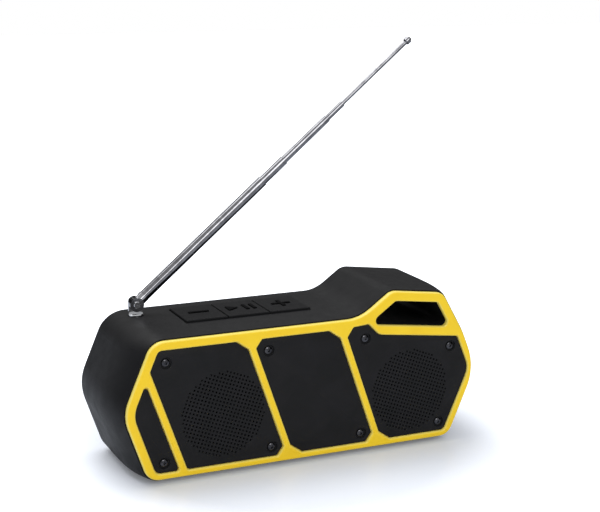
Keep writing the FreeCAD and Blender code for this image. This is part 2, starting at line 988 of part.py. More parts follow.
def shell_openings():
    """Everything cut out of the housing."""
    shapes = [plate(*grip_outline(0), 0, body_depth)]
    pilot_radius = screw_radius + boss_pilot_clearance
    seat_y = panel_front_y + screw_recess_depth
    for x, z in all_screw_places:
        shapes.append(rod_y(x, z, pilot_radius, baffle_back_y, seat_y + screw_length + screw_tip_room))
    for x, y in key_posts:
        shapes.append(rod_z(x, y, board_screw_radius + boss_pilot_clearance,
                            key_board_top_z, key_board_top_z + board_post_pilot))
    for x, y in board_posts:
        shapes.append(rod_z(x, y, board_screw_radius + boss_pilot_clearance,
                            board_z - board_post_pilot, board_z))
    shapes.append(block(
        key_left_x - key_clearance, key_right_x + key_clearance,
        key_front_y - key_clearance, key_back_y + key_clearance,
        shell_top_inside_z - shell_wall, shell_top_z + shell_wall))
    shapes.append(rod_z(antenna_x, antenna_y, stem_radius + stem_clearance, nut_seat_z, shell_top_z))
    shapes.append(rod_z(antenna_x, antenna_y, foot_flange_radius + foot_seat_clearance,
                        shell_top_z - foot_seat_depth, shell_top_z + shell_wall))
    for x, y in foot_places:
        shapes.append(rod_z(x, y, foot_radius, ground_z, shell_bottom_z + foot_sunk))
    shapes.append(block(port_recess_left_x, port_recess_right_x, recess_floor_y, body_depth,
                        port_recess_low_z, port_recess_high_z))
    reach = trunnion_length + door_gap
    shapes.append(across_rod(port_recess_left_x - reach, port_recess_right_x + reach,
                             door_axis_y, door_axis_z, trunnion_radius + trunnion_clearance))
    shapes.append(plate(solar_corners(0), solar_radius, solar_floor_y, body_depth))
    shapes += socket_openings()
    shapes.append(block(
        knob_x - knob_width / 2 - socket_gap, knob_x + knob_width / 2 + knob_travel + socket_gap,
        back_inside_y - shell_wall, body_depth,
        switch_z - knob_height / 2 - socket_gap, switch_z + knob_height / 2 + socket_gap))
    return shapes


def socket_openings():
    """Holes through the pad in front of the sockets."""
    front = back_inside_y - port_pad
    back = recess_floor_y
    jack_z = board_top_z + jack_body_side / 2
    shapes = [rod_y(jack_x, jack_z, jack_nose_radius + socket_gap, front, back)]
    for x, width, height in (
        (charge_x, charge_width, charge_height),
        (card_x, card_width, card_height),
        (usb_x, usb_width, usb_height),
    ):
        shapes.append(block(
            x - width / 2 - socket_gap, x + width / 2 + socket_gap, front, back,
            board_top_z - socket_gap, board_top_z + height + socket_gap))
    return shapes


def rear_shell():
    """Moulded housing: flared hollow body with its duct, bosses, posts and recesses."""
    outer = housing_body(bezel_thickness, body_depth, 0, back_edge_radius, False)
    cavity = housing_body(bezel_thickness, back_inside_y, shell_wall, back_edge_radius - shell_wall, True)
    shell = outer.cut(cavity)
    for addition in shell_additions():
        shell = shell.fuse(addition.common(outer))
    return shell.cut(group(shell_openings()))


def rubber_foot(x, y):
    """Round foot set into the underside, with a bevelled rim."""
    low = ground_z
    high = shell_bottom_z + foot_sunk
    profile = [
        V(0, 0, low),
        V(foot_radius - foot_bevel, 0, low),
        V(foot_radius, 0, low + foot_bevel),
        V(foot_radius, 0, high),
        V(0, 0, high),
    ]
    face = Part.Face(Part.makePolygon(profile + profile[:1]))
    return face.revolve(V(0, 0, 0), V(0, 0, 1), 360).translated(V(x, y, 0))


# Keys

key_top_z = shell_top_z + key_rise
key_bottom_z = key_top_z - key_skirt
key_flange_top_z = top_surface_z(key_front_y - key_flange) - shell_wall - key_clearance / 2
switch_top_z = key_board_top_z + switch_height
plunger_top_z = switch_top_z + plunger_rise
key_middle_y = (key_front_y + key_back_y) / 2


def key_middle_x(index):
    """Middle of a key counted from the left."""
    return key_left_x + key_width / 2 + index * (key_width + key_gap)


def key_cap(index):
    """Hollow key cap with flanges under the housing's top and a stem over its switch."""
    left = key_left_x + index * (key_width + key_gap)
    right = left + key_width
    cap = block(left, right, key_front_y, key_back_y, key_bottom_z, key_top_z)
    rim = [edge for edge in cap.Edges if all(abs(v.Z - key_top_z) < 0.001 for v in edge.Vertexes)]
    cap = cap.makeFillet(key_edge, rim)
    flange = block(left, right, key_front_y - key_flange, key_back_y + key_flange,
                   key_bottom_z, key_flange_top_z)
    hollow = block(left + key_wall, right - key_wall, key_front_y + key_wall, key_back_y - key_wall,
                   key_bottom_z, key_top_z - key_wall)
    stem = rod_z(key_middle_x(index), key_middle_y, key_stem_radius, plunger_top_z, key_top_z - key_wall / 2)
    return joined([cap.fuse(flange).cut(hollow), stem])


def key_plunger(index):
    """Plunger of a key's switch."""
    return rod_z(key_middle_x(index), key_middle_y, plunger_radius,
                 switch_top_z - plunger_sunk, plunger_top_z)


def key_switch(index):
    """Push switch on the key board, with the well that its plunger runs in."""
    x = key_middle_x(index)
    half = switch_side / 2
    body = block(x - half, x + half, key_middle_y - half, key_middle_y + half, key_board_top_z, switch_top_z)
    well = rod_z(x, key_middle_y, plunger_radius + plunger_clearance,
                 switch_top_z - plunger_sunk - key_travel - plunger_floor_room, switch_top_z)
    return body.cut(well)


def key_board():
    """Board under the keys, screwed to two posts."""
    low = key_board_top_z - board_thickness
    border = post_radius
    board = block(key_posts[0][0] - border, key_posts[1][0] + border,
                  key_front_y + border, key_back_y - border, low, key_board_top_z)
    for x, y in key_posts:
        board = board.cut(rod_z(x, y, board_screw_radius + screw_clearance, low, key_board_top_z))
    return board


def board_screw(x, y, seat_z, way):
    """Screw through a board into a post: way is 1 when it drives upwards and -1 when it drives down."""
    head_far = seat_z - way * board_head_height
    tip = seat_z + way * (board_thickness + board_screw_bite)
    head = rod_z(x, y, board_head_radius, min(seat_z, head_far), max(seat_z, head_far))
    shank = rod_z(x, y, board_screw_radius, min(seat_z, tip), max(seat_z, tip))
    return head.fuse(shank)


# Antenna. The rod is drawn lying along x from its pivot and then leaned up to its angle.

collar_start = lug_radius + collar_gap


def leaned(shape):
    """Turn a piece from lying along x to the mast's angle and put it at the pivot."""
    turned_shape = shape.copy()
    turned_shape.rotate(V(0, 0, 0), V(0, -1, 0), antenna_lean)
    return turned_shape.translated(V(antenna_x, antenna_y, pivot_z))


def rod_x(radius, start, end):
    """Cylinder on the mast's line between two distances from the pivot."""
    return across_rod(start, end, 0, 0, radius)


def tube_end(index):
    """Distance from the pivot to the free end of a tube."""
    return collar_end + sum(tube_showing[:index + 1])


def antenna_foot():
    """Turned foot with its flange in the housing, a threaded stem below and one milled cheek above."""
    base_z = shell_top_z - foot_seat_depth + stem_clearance
    flange = rod_z(antenna_x, antenna_y, foot_flange_radius, base_z, base_z + foot_flange_height)
    flange = flange.makeChamfer(foot_chamfer, [edge for edge in flange.Edges
                                               if all(abs(v.Z - base_z - foot_flange_height) < 0.001
                                                      for v in edge.Vertexes)])
    stem_bottom = nut_seat_z - stem_clearance - nut_height - foot_chamfer
    stem = rod_z(antenna_x, antenna_y, stem_radius, stem_bottom, base_z)
    lug_front = antenna_y + lug_gap / 2
    lug = rod_y(antenna_x, pivot_z, lug_radius, lug_front, lug_front + lug_thickness)
    neck = block(antenna_x - lug_radius, antenna_x + lug_radius, lug_front, lug_front + lug_thickness,
                 base_z, pivot_z)
    bar = rod_z(antenna_x, antenna_y, foot_flange_radius, base_z, pivot_z + lug_radius)
    foot = joined([flange, stem, lug.fuse(neck).common(bar)])
    return foot.cut(rod_y(antenna_x, pivot_z, pivot_pin_radius, lug_front, lug_front + lug_thickness))


def antenna_nut():
    """Hexagon nut on the stem inside the housing."""
    top = nut_seat_z - stem_clearance
    corners = []
    for index in range(7):
        turn = math.radians(60 * index)
        corners.append(V(antenna_x + nut_radius * math.cos(turn), antenna_y + nut_radius * math.sin(turn),
                         top - nut_height))
    nut = Part.Face(Part.makePolygon(corners)).extrude(V(0, 0, nut_height))
    return nut.cut(rod_z(antenna_x, antenna_y, stem_radius, top - nut_height, top))


def antenna_pivot_pin():
    """Headed pin through the foot's lug and the elbow's tongue."""
    back = antenna_y + lug_gap / 2 + lug_thickness
    front = antenna_y - lug_gap / 2 - lug_thickness - lug_gap
    pin = rod_y(antenna_x, pivot_z, pivot_pin_radius, front, back)
    head = rod_y(antenna_x, pivot_z, pivot_head_radius, front - pivot_head_height, front)
    tail = rod_y(antenna_x, pivot_z, pivot_head_radius, back, back + pivot_head_height)
    return joined([pin, head, tail])


def antenna_elbow():
    """Elbow: a half-thickness tongue beside the foot's lug, a round collar and a spigot in the tube."""
    tongue_back = -lug_gap / 2
    tongue_front = tongue_back - lug_thickness
    tongue = rod_y(0, 0, lug_radius, tongue_front, tongue_back)
    arm = block(0, collar_end - arm_short, tongue_front, tongue_back, -arm_half_height, arm_half_height)
    collar = rod_x(collar_radius, 0, collar_end)
    collar = collar.cut(rod_y(0, 0, collar_start, tongue_back, collar_radius * 2))
    collar = collar.cut(rod_y(0, 0, lug_radius, -collar_radius * 2, tongue_back))
    spigot = rod_x(tube_radii[0] - tube_wall, collar_end - arm_short, collar_end + spigot_length)
    elbow = joined([tongue, arm, collar, spigot])
    return leaned(elbow.cut(rod_y(0, 0, pivot_pin_radius + tube_clearance, tongue_front, tongue_back)))


def antenna_tube(index):
    """Telescopic tube: crimped mouth at its free end and, past the first, a sleeve at its inner end."""
    radius = tube_radii[index]
    end = tube_end(index)
    start = end - tube_lengths[index]
    bore = radius - tube_wall
    tube = rod_x(radius, start, end)
    if index > 0:
        sleeve_radius = tube_radii[index - 1] - tube_wall - tube_clearance
        tube = tube.fuse(rod_x(sleeve_radius, start, start + sleeve_length))
    mouth = tube_radii[index + 1] + tube_clearance
    tube = tube.cut(rod_x(bore, start, end - crimp_length))
    return leaned(tube.cut(rod_x(mouth, start, end)))


def antenna_rod():
    """Solid last section with its guide sleeve."""
    last = len(tube_radii) - 1
    end = tube_end(last)
    start = end - tube_lengths[last]
    sleeve_radius = tube_radii[last - 1] - tube_wall - tube_clearance
    sleeve = rod_x(sleeve_radius, start, start + sleeve_length)
    return leaned(rod_x(tube_radii[last], start, end).fuse(sleeve))


def antenna_tip():
    """Rounded cap on the end of the rod."""
    start = tube_end(len(tube_radii) - 1)
    profile = [
        V(start, 0, 0),
        V(start, tip_radius - tip_bevel, 0),
        V(start + tip_bevel, tip_radius, 0),
        V(start + tip_length - tip_crown, tip_radius, 0),
        V(start + tip_length, tip_radius - tip_crown, 0),
        V(start + tip_length, 0, 0),
    ]
    face = Part.Face(Part.makePolygon(profile + profile[:1]))
    return leaned(face.revolve(V(0, 0, 0), V(1, 0, 0), 360))


# Main board, sockets and switch

socket_mouth_y = recess_floor_y - socket_set_back


def main_board():
    """Flat board on four posts, with its back edge at the sockets."""
    back = board_back_y - socket_gap
    board = block(board_left_x, board_right_x, board_front_y, back, board_z, board_top_z)
    for x, y in board_posts:
        board = board.cut(rod_z(x, y, board_screw_radius + screw_clearance, board_z, board_top_z))
    return board


def aux_jack():
    """Round audio socket: square body and a nose with the bore for the plug."""
    middle_z = board_top_z + jack_body_side / 2
    body_back = board_back_y - socket_gap
    half = jack_body_side / 2
    body = block(jack_x - half, jack_x + half, socket_mouth_y - jack_length, body_back,
                 board_top_z, board_top_z + jack_body_side)
    nose = rod_y(jack_x, middle_z, jack_nose_radius, body_back, socket_mouth_y)
    bore = rod_y(jack_x, middle_z, jack_radius, socket_mouth_y - jack_bore_depth, socket_mouth_y)
    return body.fuse(nose).cut(bore)


def open_socket(x, width, height, depth, wall):
    """Open-mouthed metal socket on the board."""
    front = socket_mouth_y - depth
    body = block(x - width / 2, x + width / 2, front, socket_mouth_y, board_top_z, board_top_z + height)
    inside = block(x - width / 2 + wall, x + width / 2 - wall, front + wall, socket_mouth_y,
                   board_top_z + wall, board_top_z + height - wall)
    return body.cut(inside)


def tongued_socket(x, width, height, depth, wall, tongue):
    """Socket with a contact tongue that stops short of the mouth."""
    middle = board_top_z + height / 2
    tongue_back = socket_mouth_y - tongue_set_back
    blade = block(x - width / 3, x + width / 3, socket_mouth_y - depth, tongue_back,
                  middle - tongue / 2, middle + tongue / 2)
    return joined([open_socket(x, width, height, depth, wall), blade])


def power_switch_body():
    """Slide switch on the board, with the slot that its lever runs in."""
    half = switch_body_width / 2
    back = back_inside_y - socket_gap
    body = block(switch_x - half, switch_x + half, back - switch_body_depth, back,
                 board_top_z, board_top_z + switch_body_height)
    slot = block(knob_x - lever_side / 2 - lever_gap, knob_x + lever_side / 2 + knob_travel + lever_gap,
                 back - lever_depth - lever_gap, back,
                 switch_z - lever_side / 2 - lever_gap, switch_z + lever_side / 2 + lever_gap)
    return body.cut(slot)


def power_switch_knob():
    """Knob in the back wall on the switch's lever."""
    back = back_inside_y - socket_gap
    knob = block(knob_x - knob_width / 2, knob_x + knob_width / 2, back + lever_gap, body_depth + knob_reach,
                 switch_z - knob_height / 2, switch_z + knob_height / 2)
    lever = block(knob_x - lever_side / 2, knob_x + lever_side / 2, back - lever_depth, back + knob_reach,
                  switch_z - lever_side / 2, switch_z + lever_side / 2)
    return joined([knob, lever])


def socket_door():
    """Door over the sockets, hung on two trunnions along its lower edge."""
    left = port_recess_left_x + door_gap
    right = port_recess_right_x - door_gap
    back = body_depth
    leaf = block(left, right, back - door_thickness, back, door_axis_z, port_recess_high_z - door_gap)
    reach = trunnion_length + door_gap - trunnion_clearance
    barrel = across_rod(left, right, door_axis_y, door_axis_z, door_barrel_radius)
    trunnions = across_rod(left - reach, right + reach, door_axis_y, door_axis_z, trunnion_radius)
    middle = (left + right) / 2
    grip = block(middle - tab_width / 2, middle + tab_width / 2, back - tab_depth, back,
                 port_recess_high_z - door_gap - tab_height, port_recess_high_z)
    return joined([leaf, barrel, trunnions]).cut(grip)


# Battery

cell_y = body_depth - cell_back_offset
cell_z = shell_floor_z + tray_wall + tray_gap + cell_radius


def battery_cell():
    """Round lithium cell lying across the housing."""
    half = cell_length / 2
    return across_rod(cell_x - half, cell_x + half, cell_y, cell_z, cell_radius)


def battery_tray():
    """Open tray on the housing's floor that cradles the lower half of the cell."""
    inside = cell_length / 2 + contact_thickness
    outside = inside + tray_wall
    half_width = cell_radius + tray_gap + tray_wall
    tray = block(cell_x - outside, cell_x + outside, cell_y - half_width, cell_y + half_width,
                 shell_floor_z, cell_z)
    return tray.cut(across_rod(cell_x - inside, cell_x + inside, cell_y, cell_z, cell_radius + tray_gap))


def battery_contact(way):
    """Plated contact between one end of the cell and the tray."""
    start = cell_x + way * (cell_length / 2)
    left, right = sorted((start, start + way * contact_thickness))
    half = contact_side / 2
    return block(left, right, cell_y - half, cell_y + half, cell_z - contact_side, cell_z)


# Solar panel

def solar_board():
    """Board of solar cells on the floor of its recess."""
    back = solar_floor_y + solar_board_thickness
    return plate(solar_corners(solar_gap), solar_radius, solar_floor_y, back)


def solar_window():
    """Clear sheet over the cells."""
    front = solar_floor_y + solar_board_thickness
    return plate(solar_corners(solar_gap), solar_radius, front, front + solar_window_thickness)


nodes = {
    "rear_shell": rear_shell(),
    "front_baffle": front_baffle(),
    "front_bezel": front_bezel(),
    "badge_plate": plain_panel("badge_plate"),
    "left_grille": grille("left_grille", "left"),
    "centre_panel": plain_panel("centre_panel"),
    "right_grille": grille("right_grille", "right"),
    "panel_screws": group([panel_screw(x, z) for x, z in all_screw_places]),
    "main_board": main_board(),
    "board_screws": group([board_screw(x, y, board_top_z, -1) for x, y in board_posts]),
    "aux_jack": aux_jack(),
    "charge_socket": tongued_socket(
        charge_x, charge_width, charge_height, charge_depth, charge_wall, charge_tongue),
    "card_slot": open_socket(card_x, card_width, card_height, card_depth, card_wall),
    "usb_a_socket": tongued_socket(usb_x, usb_width, usb_height, usb_depth, usb_wall, usb_tongue),
    "power_switch_body": power_switch_body(),
    "power_switch_knob": power_switch_knob(),
    "socket_door": socket_door(),
    "battery_tray": battery_tray(),
    "battery_cell": battery_cell(),
    "battery_contacts": group([battery_contact(-1), battery_contact(1)]),
    "solar_board": solar_board(),
    "solar_window": solar_window(),
    "key_board": key_board(),
    "key_board_screws": group([
        board_screw(x, y, key_board_top_z - board_thickness, 1) for x, y in key_posts]),
    "key_switches": group([key_switch(index) for index in range(key_count)]),
    "antenna_foot": antenna_foot(),
    "antenna_nut": antenna_nut(),
    "antenna_pivot_pin": antenna_pivot_pin(),
    "antenna_elbow": antenna_elbow(),
    "antenna_rod": antenna_rod(),
    "antenna_tip": antenna_tip(),
    "rubber_feet": group([rubber_foot(x, y) for x, y in foot_places]),
}
for side, place in speaker_places.items():
    nodes[side + "_speaker_basket"] = speaker_basket(*place)
    nodes[side + "_speaker_surround"] = speaker_surround(*place)
    nodes[side + "_speaker_cone"] = speaker_cone(*place)
    nodes[side + "_voice_coil"] = voice_coil(*place)
    nodes[side + "_speaker_top_plate"] = speaker_top_plate(*place)
    nodes[side + "_speaker_magnet"] = speaker_magnet(*place)
    nodes[side + "_speaker_yoke"] = speaker_yoke(*place)
nodes["speaker_screws"] = group([
    speaker_screw(x, z) for place in speaker_places.values() for x, z in speaker_screw_places(*place)])
for index, name in enumerate(("minus", "play", "plus")):
    nodes[name + "_key"] = key_cap(index)
    nodes[name + "_plunger"] = key_plunger(index)
for index in range(len(tube_radii) - 1):
    nodes["antenna_tube_" + str(index + 1)] = antenna_tube(index)

os.makedirs("parts", exist_ok=True)
to_origin = V(0, -body_depth / 2, -ground_z)
for name, shape in nodes.items():
    shape.translated(to_origin).exportStep("parts/" + name + ".step")
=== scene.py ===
"""Looks of a portable solar radio: yellow front frame, black rubbery housing and telescopic antenna."""

from __future__ import annotations

import json
import logging
import math
from dataclasses import dataclass, field
from enum import Enum
from typing import Any, Sequence

import bmesh
import bpy
from mathutils import Euler, Matrix, Vector
from mathutils.geometry import tessellate_polygon

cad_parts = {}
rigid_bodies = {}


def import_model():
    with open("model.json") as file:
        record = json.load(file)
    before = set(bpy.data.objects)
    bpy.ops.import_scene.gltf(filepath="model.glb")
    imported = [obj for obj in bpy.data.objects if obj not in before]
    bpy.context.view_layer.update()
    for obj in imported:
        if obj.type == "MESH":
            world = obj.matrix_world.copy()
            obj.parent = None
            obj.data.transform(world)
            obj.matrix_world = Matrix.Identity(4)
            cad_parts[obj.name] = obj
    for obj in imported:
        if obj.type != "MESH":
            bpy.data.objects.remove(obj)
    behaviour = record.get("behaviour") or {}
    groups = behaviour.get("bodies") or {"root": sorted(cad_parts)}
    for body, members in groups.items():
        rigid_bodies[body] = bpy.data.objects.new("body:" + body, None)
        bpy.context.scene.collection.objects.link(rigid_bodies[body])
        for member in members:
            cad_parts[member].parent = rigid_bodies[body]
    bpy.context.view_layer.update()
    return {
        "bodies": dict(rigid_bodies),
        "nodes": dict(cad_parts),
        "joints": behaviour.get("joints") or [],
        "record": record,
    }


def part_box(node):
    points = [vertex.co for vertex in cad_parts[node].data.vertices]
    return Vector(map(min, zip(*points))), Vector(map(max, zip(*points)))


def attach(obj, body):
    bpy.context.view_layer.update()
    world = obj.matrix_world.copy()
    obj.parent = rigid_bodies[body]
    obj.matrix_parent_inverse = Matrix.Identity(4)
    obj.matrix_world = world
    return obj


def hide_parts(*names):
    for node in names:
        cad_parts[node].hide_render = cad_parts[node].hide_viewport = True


LOG = logging.getLogger("radio")

MM = 0.001
MERGE = 1e-6
FLATNESS = 0.02 * MM
SMOOTH_ANGLE = math.radians(32)
LEAST_MITRE = 0.3
WHITE = (1.0, 1.0, 1.0, 1.0)
FORWARD = (0.0, -1.0, 0.0)
QUARTER_TURN = math.pi / 2

# Places of the colour sockets on the mix node
MIX_FIRST = 6
MIX_SECOND = 7
MIX_RESULT = 2

# Places of the float sockets on the random value node
RANDOM_LOW = 2
RANDOM_HIGH = 3
RANDOM_RESULT = 1

Screen = tuple[int, int, int]
Colour = tuple[float, float, float, float]
Triple = tuple[float, float, float]
Plan = list[tuple[float, float]]
Loop = list[Vector]
Frame = dict[str, Any]
Socket = bpy.types.NodeSocket
Object = bpy.types.Object
Mesh = bmesh.types.BMesh
Ring = Sequence[bmesh.types.BMVert]


def srgb(red: int, green: int, blue: int) -> Colour:
    """Linear colour of a screen colour.

    Args:
        red: Red from 0 to 255.
        green: Green from 0 to 255.
        blue: Blue from 0 to 255.

    Returns:
        The colour that a shader takes.
    """
    linear = []
    for level in (red, green, blue):
        share = level / 255
        linear.append(share / 12.92 if share <= 0.04045 else ((share + 0.055) / 1.055) ** 2.4)
    return linear[0], linear[1], linear[2], 1.0


# Node trees


class NodeTree:
    """A node tree whose inputs take a value or the socket to link."""

    def __init__(self, tree: bpy.types.NodeTree) -> None:
        """Keeps the tree and empties it."""
        self.tree = tree
        self.tree.nodes.clear()

    def join(self, target: Socket, value: Any) -> None:
        """Links an input socket to a socket, or sets it to a value.

        Args:
            target: The input socket.
            value: The value, or the socket it comes from.
        """
        if isinstance(value, Socket):
            self.tree.links.new(value, target)
        else:
            target.default_value = value

    def add(self, kind: str, values: dict[Any, Any] | None = None, **settings: Any) -> bpy.types.Node:
        """Adds a node.

        Args:
            kind: Type name of the node.
            values: Value or source socket of each input, by the input's name or place.
            **settings: Properties of the node.

        Returns:
            The new node.
        """
        node = self.tree.nodes.new(kind)
        for name, value in settings.items():
            setattr(node, name, value)
        for name, value in (values or {}).items():
            self.join(node.inputs[name], value)
        return node

    def math(self, operation: str, first: Any, second: Any) -> Socket:
        """Result of one sum on two values or sockets."""
        return self.add("ShaderNodeMath", {0: first, 1: second}, operation=operation).outputs["Value"]

    def length(self, place: Socket) -> Socket:
        """Length of a vector."""
        return self.add("ShaderNodeVectorMath", {0: place}, operation="LENGTH").outputs["Value"]


class ShaderTree(NodeTree):
    """The node tree of one material round a principled shader."""

    def __init__(self, name: str) -> None:
        """Makes a material with its shader.

        Args:
            name: Name of the material.
        """
        self.material = bpy.data.materials.new(name)
        self.material.use_nodes = True
        super().__init__(self.material.node_tree)
        self.surface = self.add("ShaderNodeBsdfPrincipled")
        self.add("ShaderNodeOutputMaterial", {"Surface": self.surface.outputs["BSDF"]})
        self.place = self.add("ShaderNodeTexCoord").outputs["Object"]

    def fill(self, **values: Any) -> None:
        """Sets or links the shader's own sockets.

        Args:
            **values: Value or source socket of each, by its name with _ for a space.
        """
        for name, value in values.items():
            self.join(self.surface.inputs[name.replace("_", " ")], value)

    def noise(
        self, size: float, detail: float = 3.0, distortion: float = 0.0, place: Socket | None = None
    ) -> Socket:
        """Noise between 0 and 1.

        Args:
            size: Size of its spots in metres.
            detail: Octaves of finer noise.
            distortion: How far the spots are stirred.
            place: Coordinates, or None for the object's own.

        Returns:
            The socket with the noise.
        """
        return self.add("ShaderNodeTexNoise", {
            "Vector": place or self.place, "Scale": 1 / size, "Detail": detail, "Distortion": distortion,
        }).outputs["Fac"]

    def spread(
        self, source: Socket, low: float = 0.0, high: float = 1.0, start: float = 0.3, end: float = 0.7
    ) -> Socket:
        """Moves a value from one range to another.

        Args:
            source: The value.
            low: Result at the start.
            high: Result at the end.
            start: Value that gives low.
            end: Value that gives high.

        Returns:
            The socket with the result.
        """
        values = {"Value": source, "From Min": start, "From Max": end, "To Min": low, "To Max": high}
        return self.add("ShaderNodeMapRange", values).outputs["Result"]

    def about(self, source: Socket, centre: float, reach: float) -> Socket:
        """Spreads a value from a reach below a centre to as much above it."""
        return self.spread(source, centre - reach, centre + reach)

    def mixed(self, share: Socket, first: Any, second: Any) -> Socket:
        """Mixes two colours.

        Args:
            share: Share of the second colour.
            first: A colour, or a socket that gives one.
            second: A colour, or a socket that gives one.

        Returns:
            The socket with the mixed colour.
        """
        values = {"Factor": share, MIX_FIRST: first, MIX_SECOND: second}
        return self.add("ShaderNodeMix", values, data_type="RGBA").outputs[MIX_RESULT]

    def turned_away(self, start: float, end: float) -> Socket:
        """Share that rises where a surface turns away from the front, as on a rounded edge.

        Args:
            start: Cosine of the turn where the share is still 0.
            end: Cosine of the turn where the share is 1.

        Returns:
            The socket with the share.
        """
        normal = self.add("ShaderNodeNewGeometry").outputs["Normal"]
        turn = self.add("ShaderNodeVectorMath", {0: normal, 1: FORWARD}, operation="DOT_PRODUCT")
        return self.spread(turn.outputs["Value"], start=start, end=end)

    def relief(self, height: Socket, depth: float, below: Socket | None = None) -> Socket:
        """Bump from a height.

        Args:
            height: Height between 0 and 1.
            depth: Depth of the relief in metres.
            below: Normal socket of a relief under this one.

        Returns:
            The socket with the new normal.
        """
        node = self.add("ShaderNodeBump", {"Distance": depth, "Strength": 1.0, "Height": height})
        if below is not None:
            self.join(node.inputs["Normal"], below)
        return node.outputs["Normal"]


# Finishes


@dataclass(frozen=True)
class Finish:
    """A surface finish in two screen colours. Each kind of finish paints its own shader."""

    name: str
    light: Screen
    dark: Screen

    def paint(self, shader: ShaderTree) -> None:
        """Fills the shader with this finish."""
        raise NotImplementedError

    def blend(self, shader: ShaderTree, share: Socket) -> Socket:
        """The dark colour with a share of the light one."""
        return shader.mixed(share, srgb(*self.dark), srgb(*self.light))

    def material(self) -> bpy.types.Material:
        """Makes the finish's material, once.

        Returns:
            The material.
        """
        found = bpy.data.materials.get(self.name)
        if found is not None:
            return found
        shader = ShaderTree(self.name)
        self.paint(shader)
        return shader.material


@dataclass(frozen=True)
class Moulded(Finish):
    """Moulded plastic or rubber with mottling, uneven gloss, a spark-eroded grain and an optional painted
    highlight on its edges.
    """

    roughness: float
    roughness_spread: float = 0.05
    mottle_size: float = 14 * MM
    gloss_share: float = 0.4
    grain_size: float = 0.45 * MM
    grain_depth: float = 0.012 * MM
    wave_size: float = 9 * MM
    wave_depth: float = 0.03 * MM
    specular: float = 0.5
    coat: float = 0.0
    coat_roughness: float = 0.2
    # Painted highlight: a paler colour for surfaces turned away from the front, with the cosines of the turn
    # where it starts and where it is full
    painted_highlight: Screen | None = None
    highlight_start: float = 0.99
    highlight_end: float = 0.6

    def paint(self, shader: ShaderTree) -> None:
        """Mottled colour, a painted highlight that pales surfaces turned away from the front, uneven gloss
        and two reliefs.

        Args:
            shader: The shader to fill.
        """
        mottle = shader.noise(self.mottle_size, detail=4.0, distortion=0.6)
        colour = self.blend(shader, shader.spread(mottle))
        # Painted highlight: rounded edges and sides that turn away from the front are mixed towards a paler
        # colour
        if self.painted_highlight is not None:
            edges = shader.turned_away(self.highlight_start, self.highlight_end)
            colour = shader.mixed(edges, colour, srgb(*self.painted_highlight))
        gloss = shader.noise(self.mottle_size * self.gloss_share)
        waves = shader.relief(shader.noise(self.wave_size, detail=1.0), self.wave_depth)
        grain = shader.noise(self.grain_size, detail=2.0)
        shader.fill(
            Base_Color=colour,
            Roughness=shader.about(gloss, self.roughness, self.roughness_spread),
            Normal=shader.relief(grain, self.grain_depth, waves),
            Specular_IOR_Level=self.specular,
            Coat_Weight=self.coat,
            Coat_Roughness=self.coat_roughness,
        )


@dataclass(frozen=True)
class Metal(Finish):
    """Plated or bare metal with fine drawing lines along x and faint smears."""

    roughness: float
    roughness_spread: float = 0.04
    line_size: float = 0.25 * MM
    line_length: float = 20.0
    line_depth: float = 0.002 * MM
    smear_size: float = 6 * MM

    def paint(self, shader: ShaderTree) -> None:
        """Drawing lines in the gloss and relief, and smears in the colour.

        Args:
            shader: The shader to fill.
        """
        stretch = {"Vector": shader.place, "Scale": (1 / self.line_length, 1.0, 1.0)}
        along = shader.add("ShaderNodeMapping", stretch).outputs["Vector"]
        lines = shader.noise(self.line_size, detail=2.0, place=along)
        smears = shader.noise(self.smear_size, distortion=0.8)
        shader.fill(
            Base_Color=self.blend(shader, shader.spread(smears)),
            Roughness=shader.about(lines, self.roughness, self.roughness_spread),
            Normal=shader.relief(lines, self.line_depth),
            Metallic=1.0,
        )


@dataclass(frozen=True)
class ClearSheet(Finish):
    """Clear plastic sheet with a little dust."""

    roughness: float = 0.02
    dusty_roughness: float = 0.06
    dust_size: float = 3 * MM
    tint_size: float = 20 * MM
    index: float = 1.49

    def paint(self, shader: ShaderTree) -> None:
        """Clear body with dusty spots in the gloss.

        Args:
            shader: The shader to fill.
        """
        dust = shader.noise(self.dust_size, detail=4.0, distortion=0.4)
        tint = shader.noise(self.tint_size, detail=2.0)
        shader.fill(
            Base_Color=self.blend(shader, shader.spread(tint)),
            Roughness=shader.spread(dust, self.roughness, self.dusty_roughness, start=0.45, end=0.8),
            IOR=self.index,
            Transmission_Weight=1.0,
        )


@dataclass(frozen=True)
class CrystalCells(Finish):
    """Dark solar cells with the flakes of their crystals."""

    flake_size: float = 4.5 * MM
    glossiest: float = 0.22
    dullest: float = 0.38
    specular: float = 0.25

    def paint(self, shader: ShaderTree) -> None:
        """Flakes in the colour and the gloss.

        Args:
            shader: The shader to fill.
        """
        values = {"Vector": shader.place, "Scale": 1 / self.flake_size, "Randomness": 1.0}
        flakes = shader.add("ShaderNodeTexVoronoi", values)
        split = shader.add("ShaderNodeSeparateColor", {"Color": flakes.outputs["Color"]}).outputs
        shader.fill(
            Base_Color=self.blend(shader, split["Red"]),
            Roughness=shader.spread(split["Green"], self.glossiest, self.dullest, start=0.0, end=1.0),
            Specular_IOR_Level=self.specular,
        )


@dataclass(frozen=True)
class BoardLacquer(Finish):
    """Circuit board lacquer with the lighter tracks that show through it."""

    pitch: float = 2.54 * MM
    track_depth: float = 0.03 * MM
    gloss_size: float = 5 * MM
    glossiest: float = 0.28
    dullest: float = 0.4

    def paint(self, shader: ShaderTree) -> None:
        """Tracks as the edges of blocks, raised a little.

        Args:
            shader: The shader to fill.
        """
        values = {"Vector": shader.place, "Scale": 1 / self.pitch, "Randomness": 0.55}
        tracks = shader.add("ShaderNodeTexVoronoi", values, feature="DISTANCE_TO_EDGE", distance="EUCLIDEAN")
        lines = shader.spread(tracks.outputs["Distance"], 1.0, 0.0, start=0.06, end=0.12)
        shader.fill(
            Base_Color=self.blend(shader, lines),
            Roughness=shader.spread(shader.noise(self.gloss_size), self.glossiest, self.dullest),
            Normal=shader.relief(lines, self.track_depth),
        )


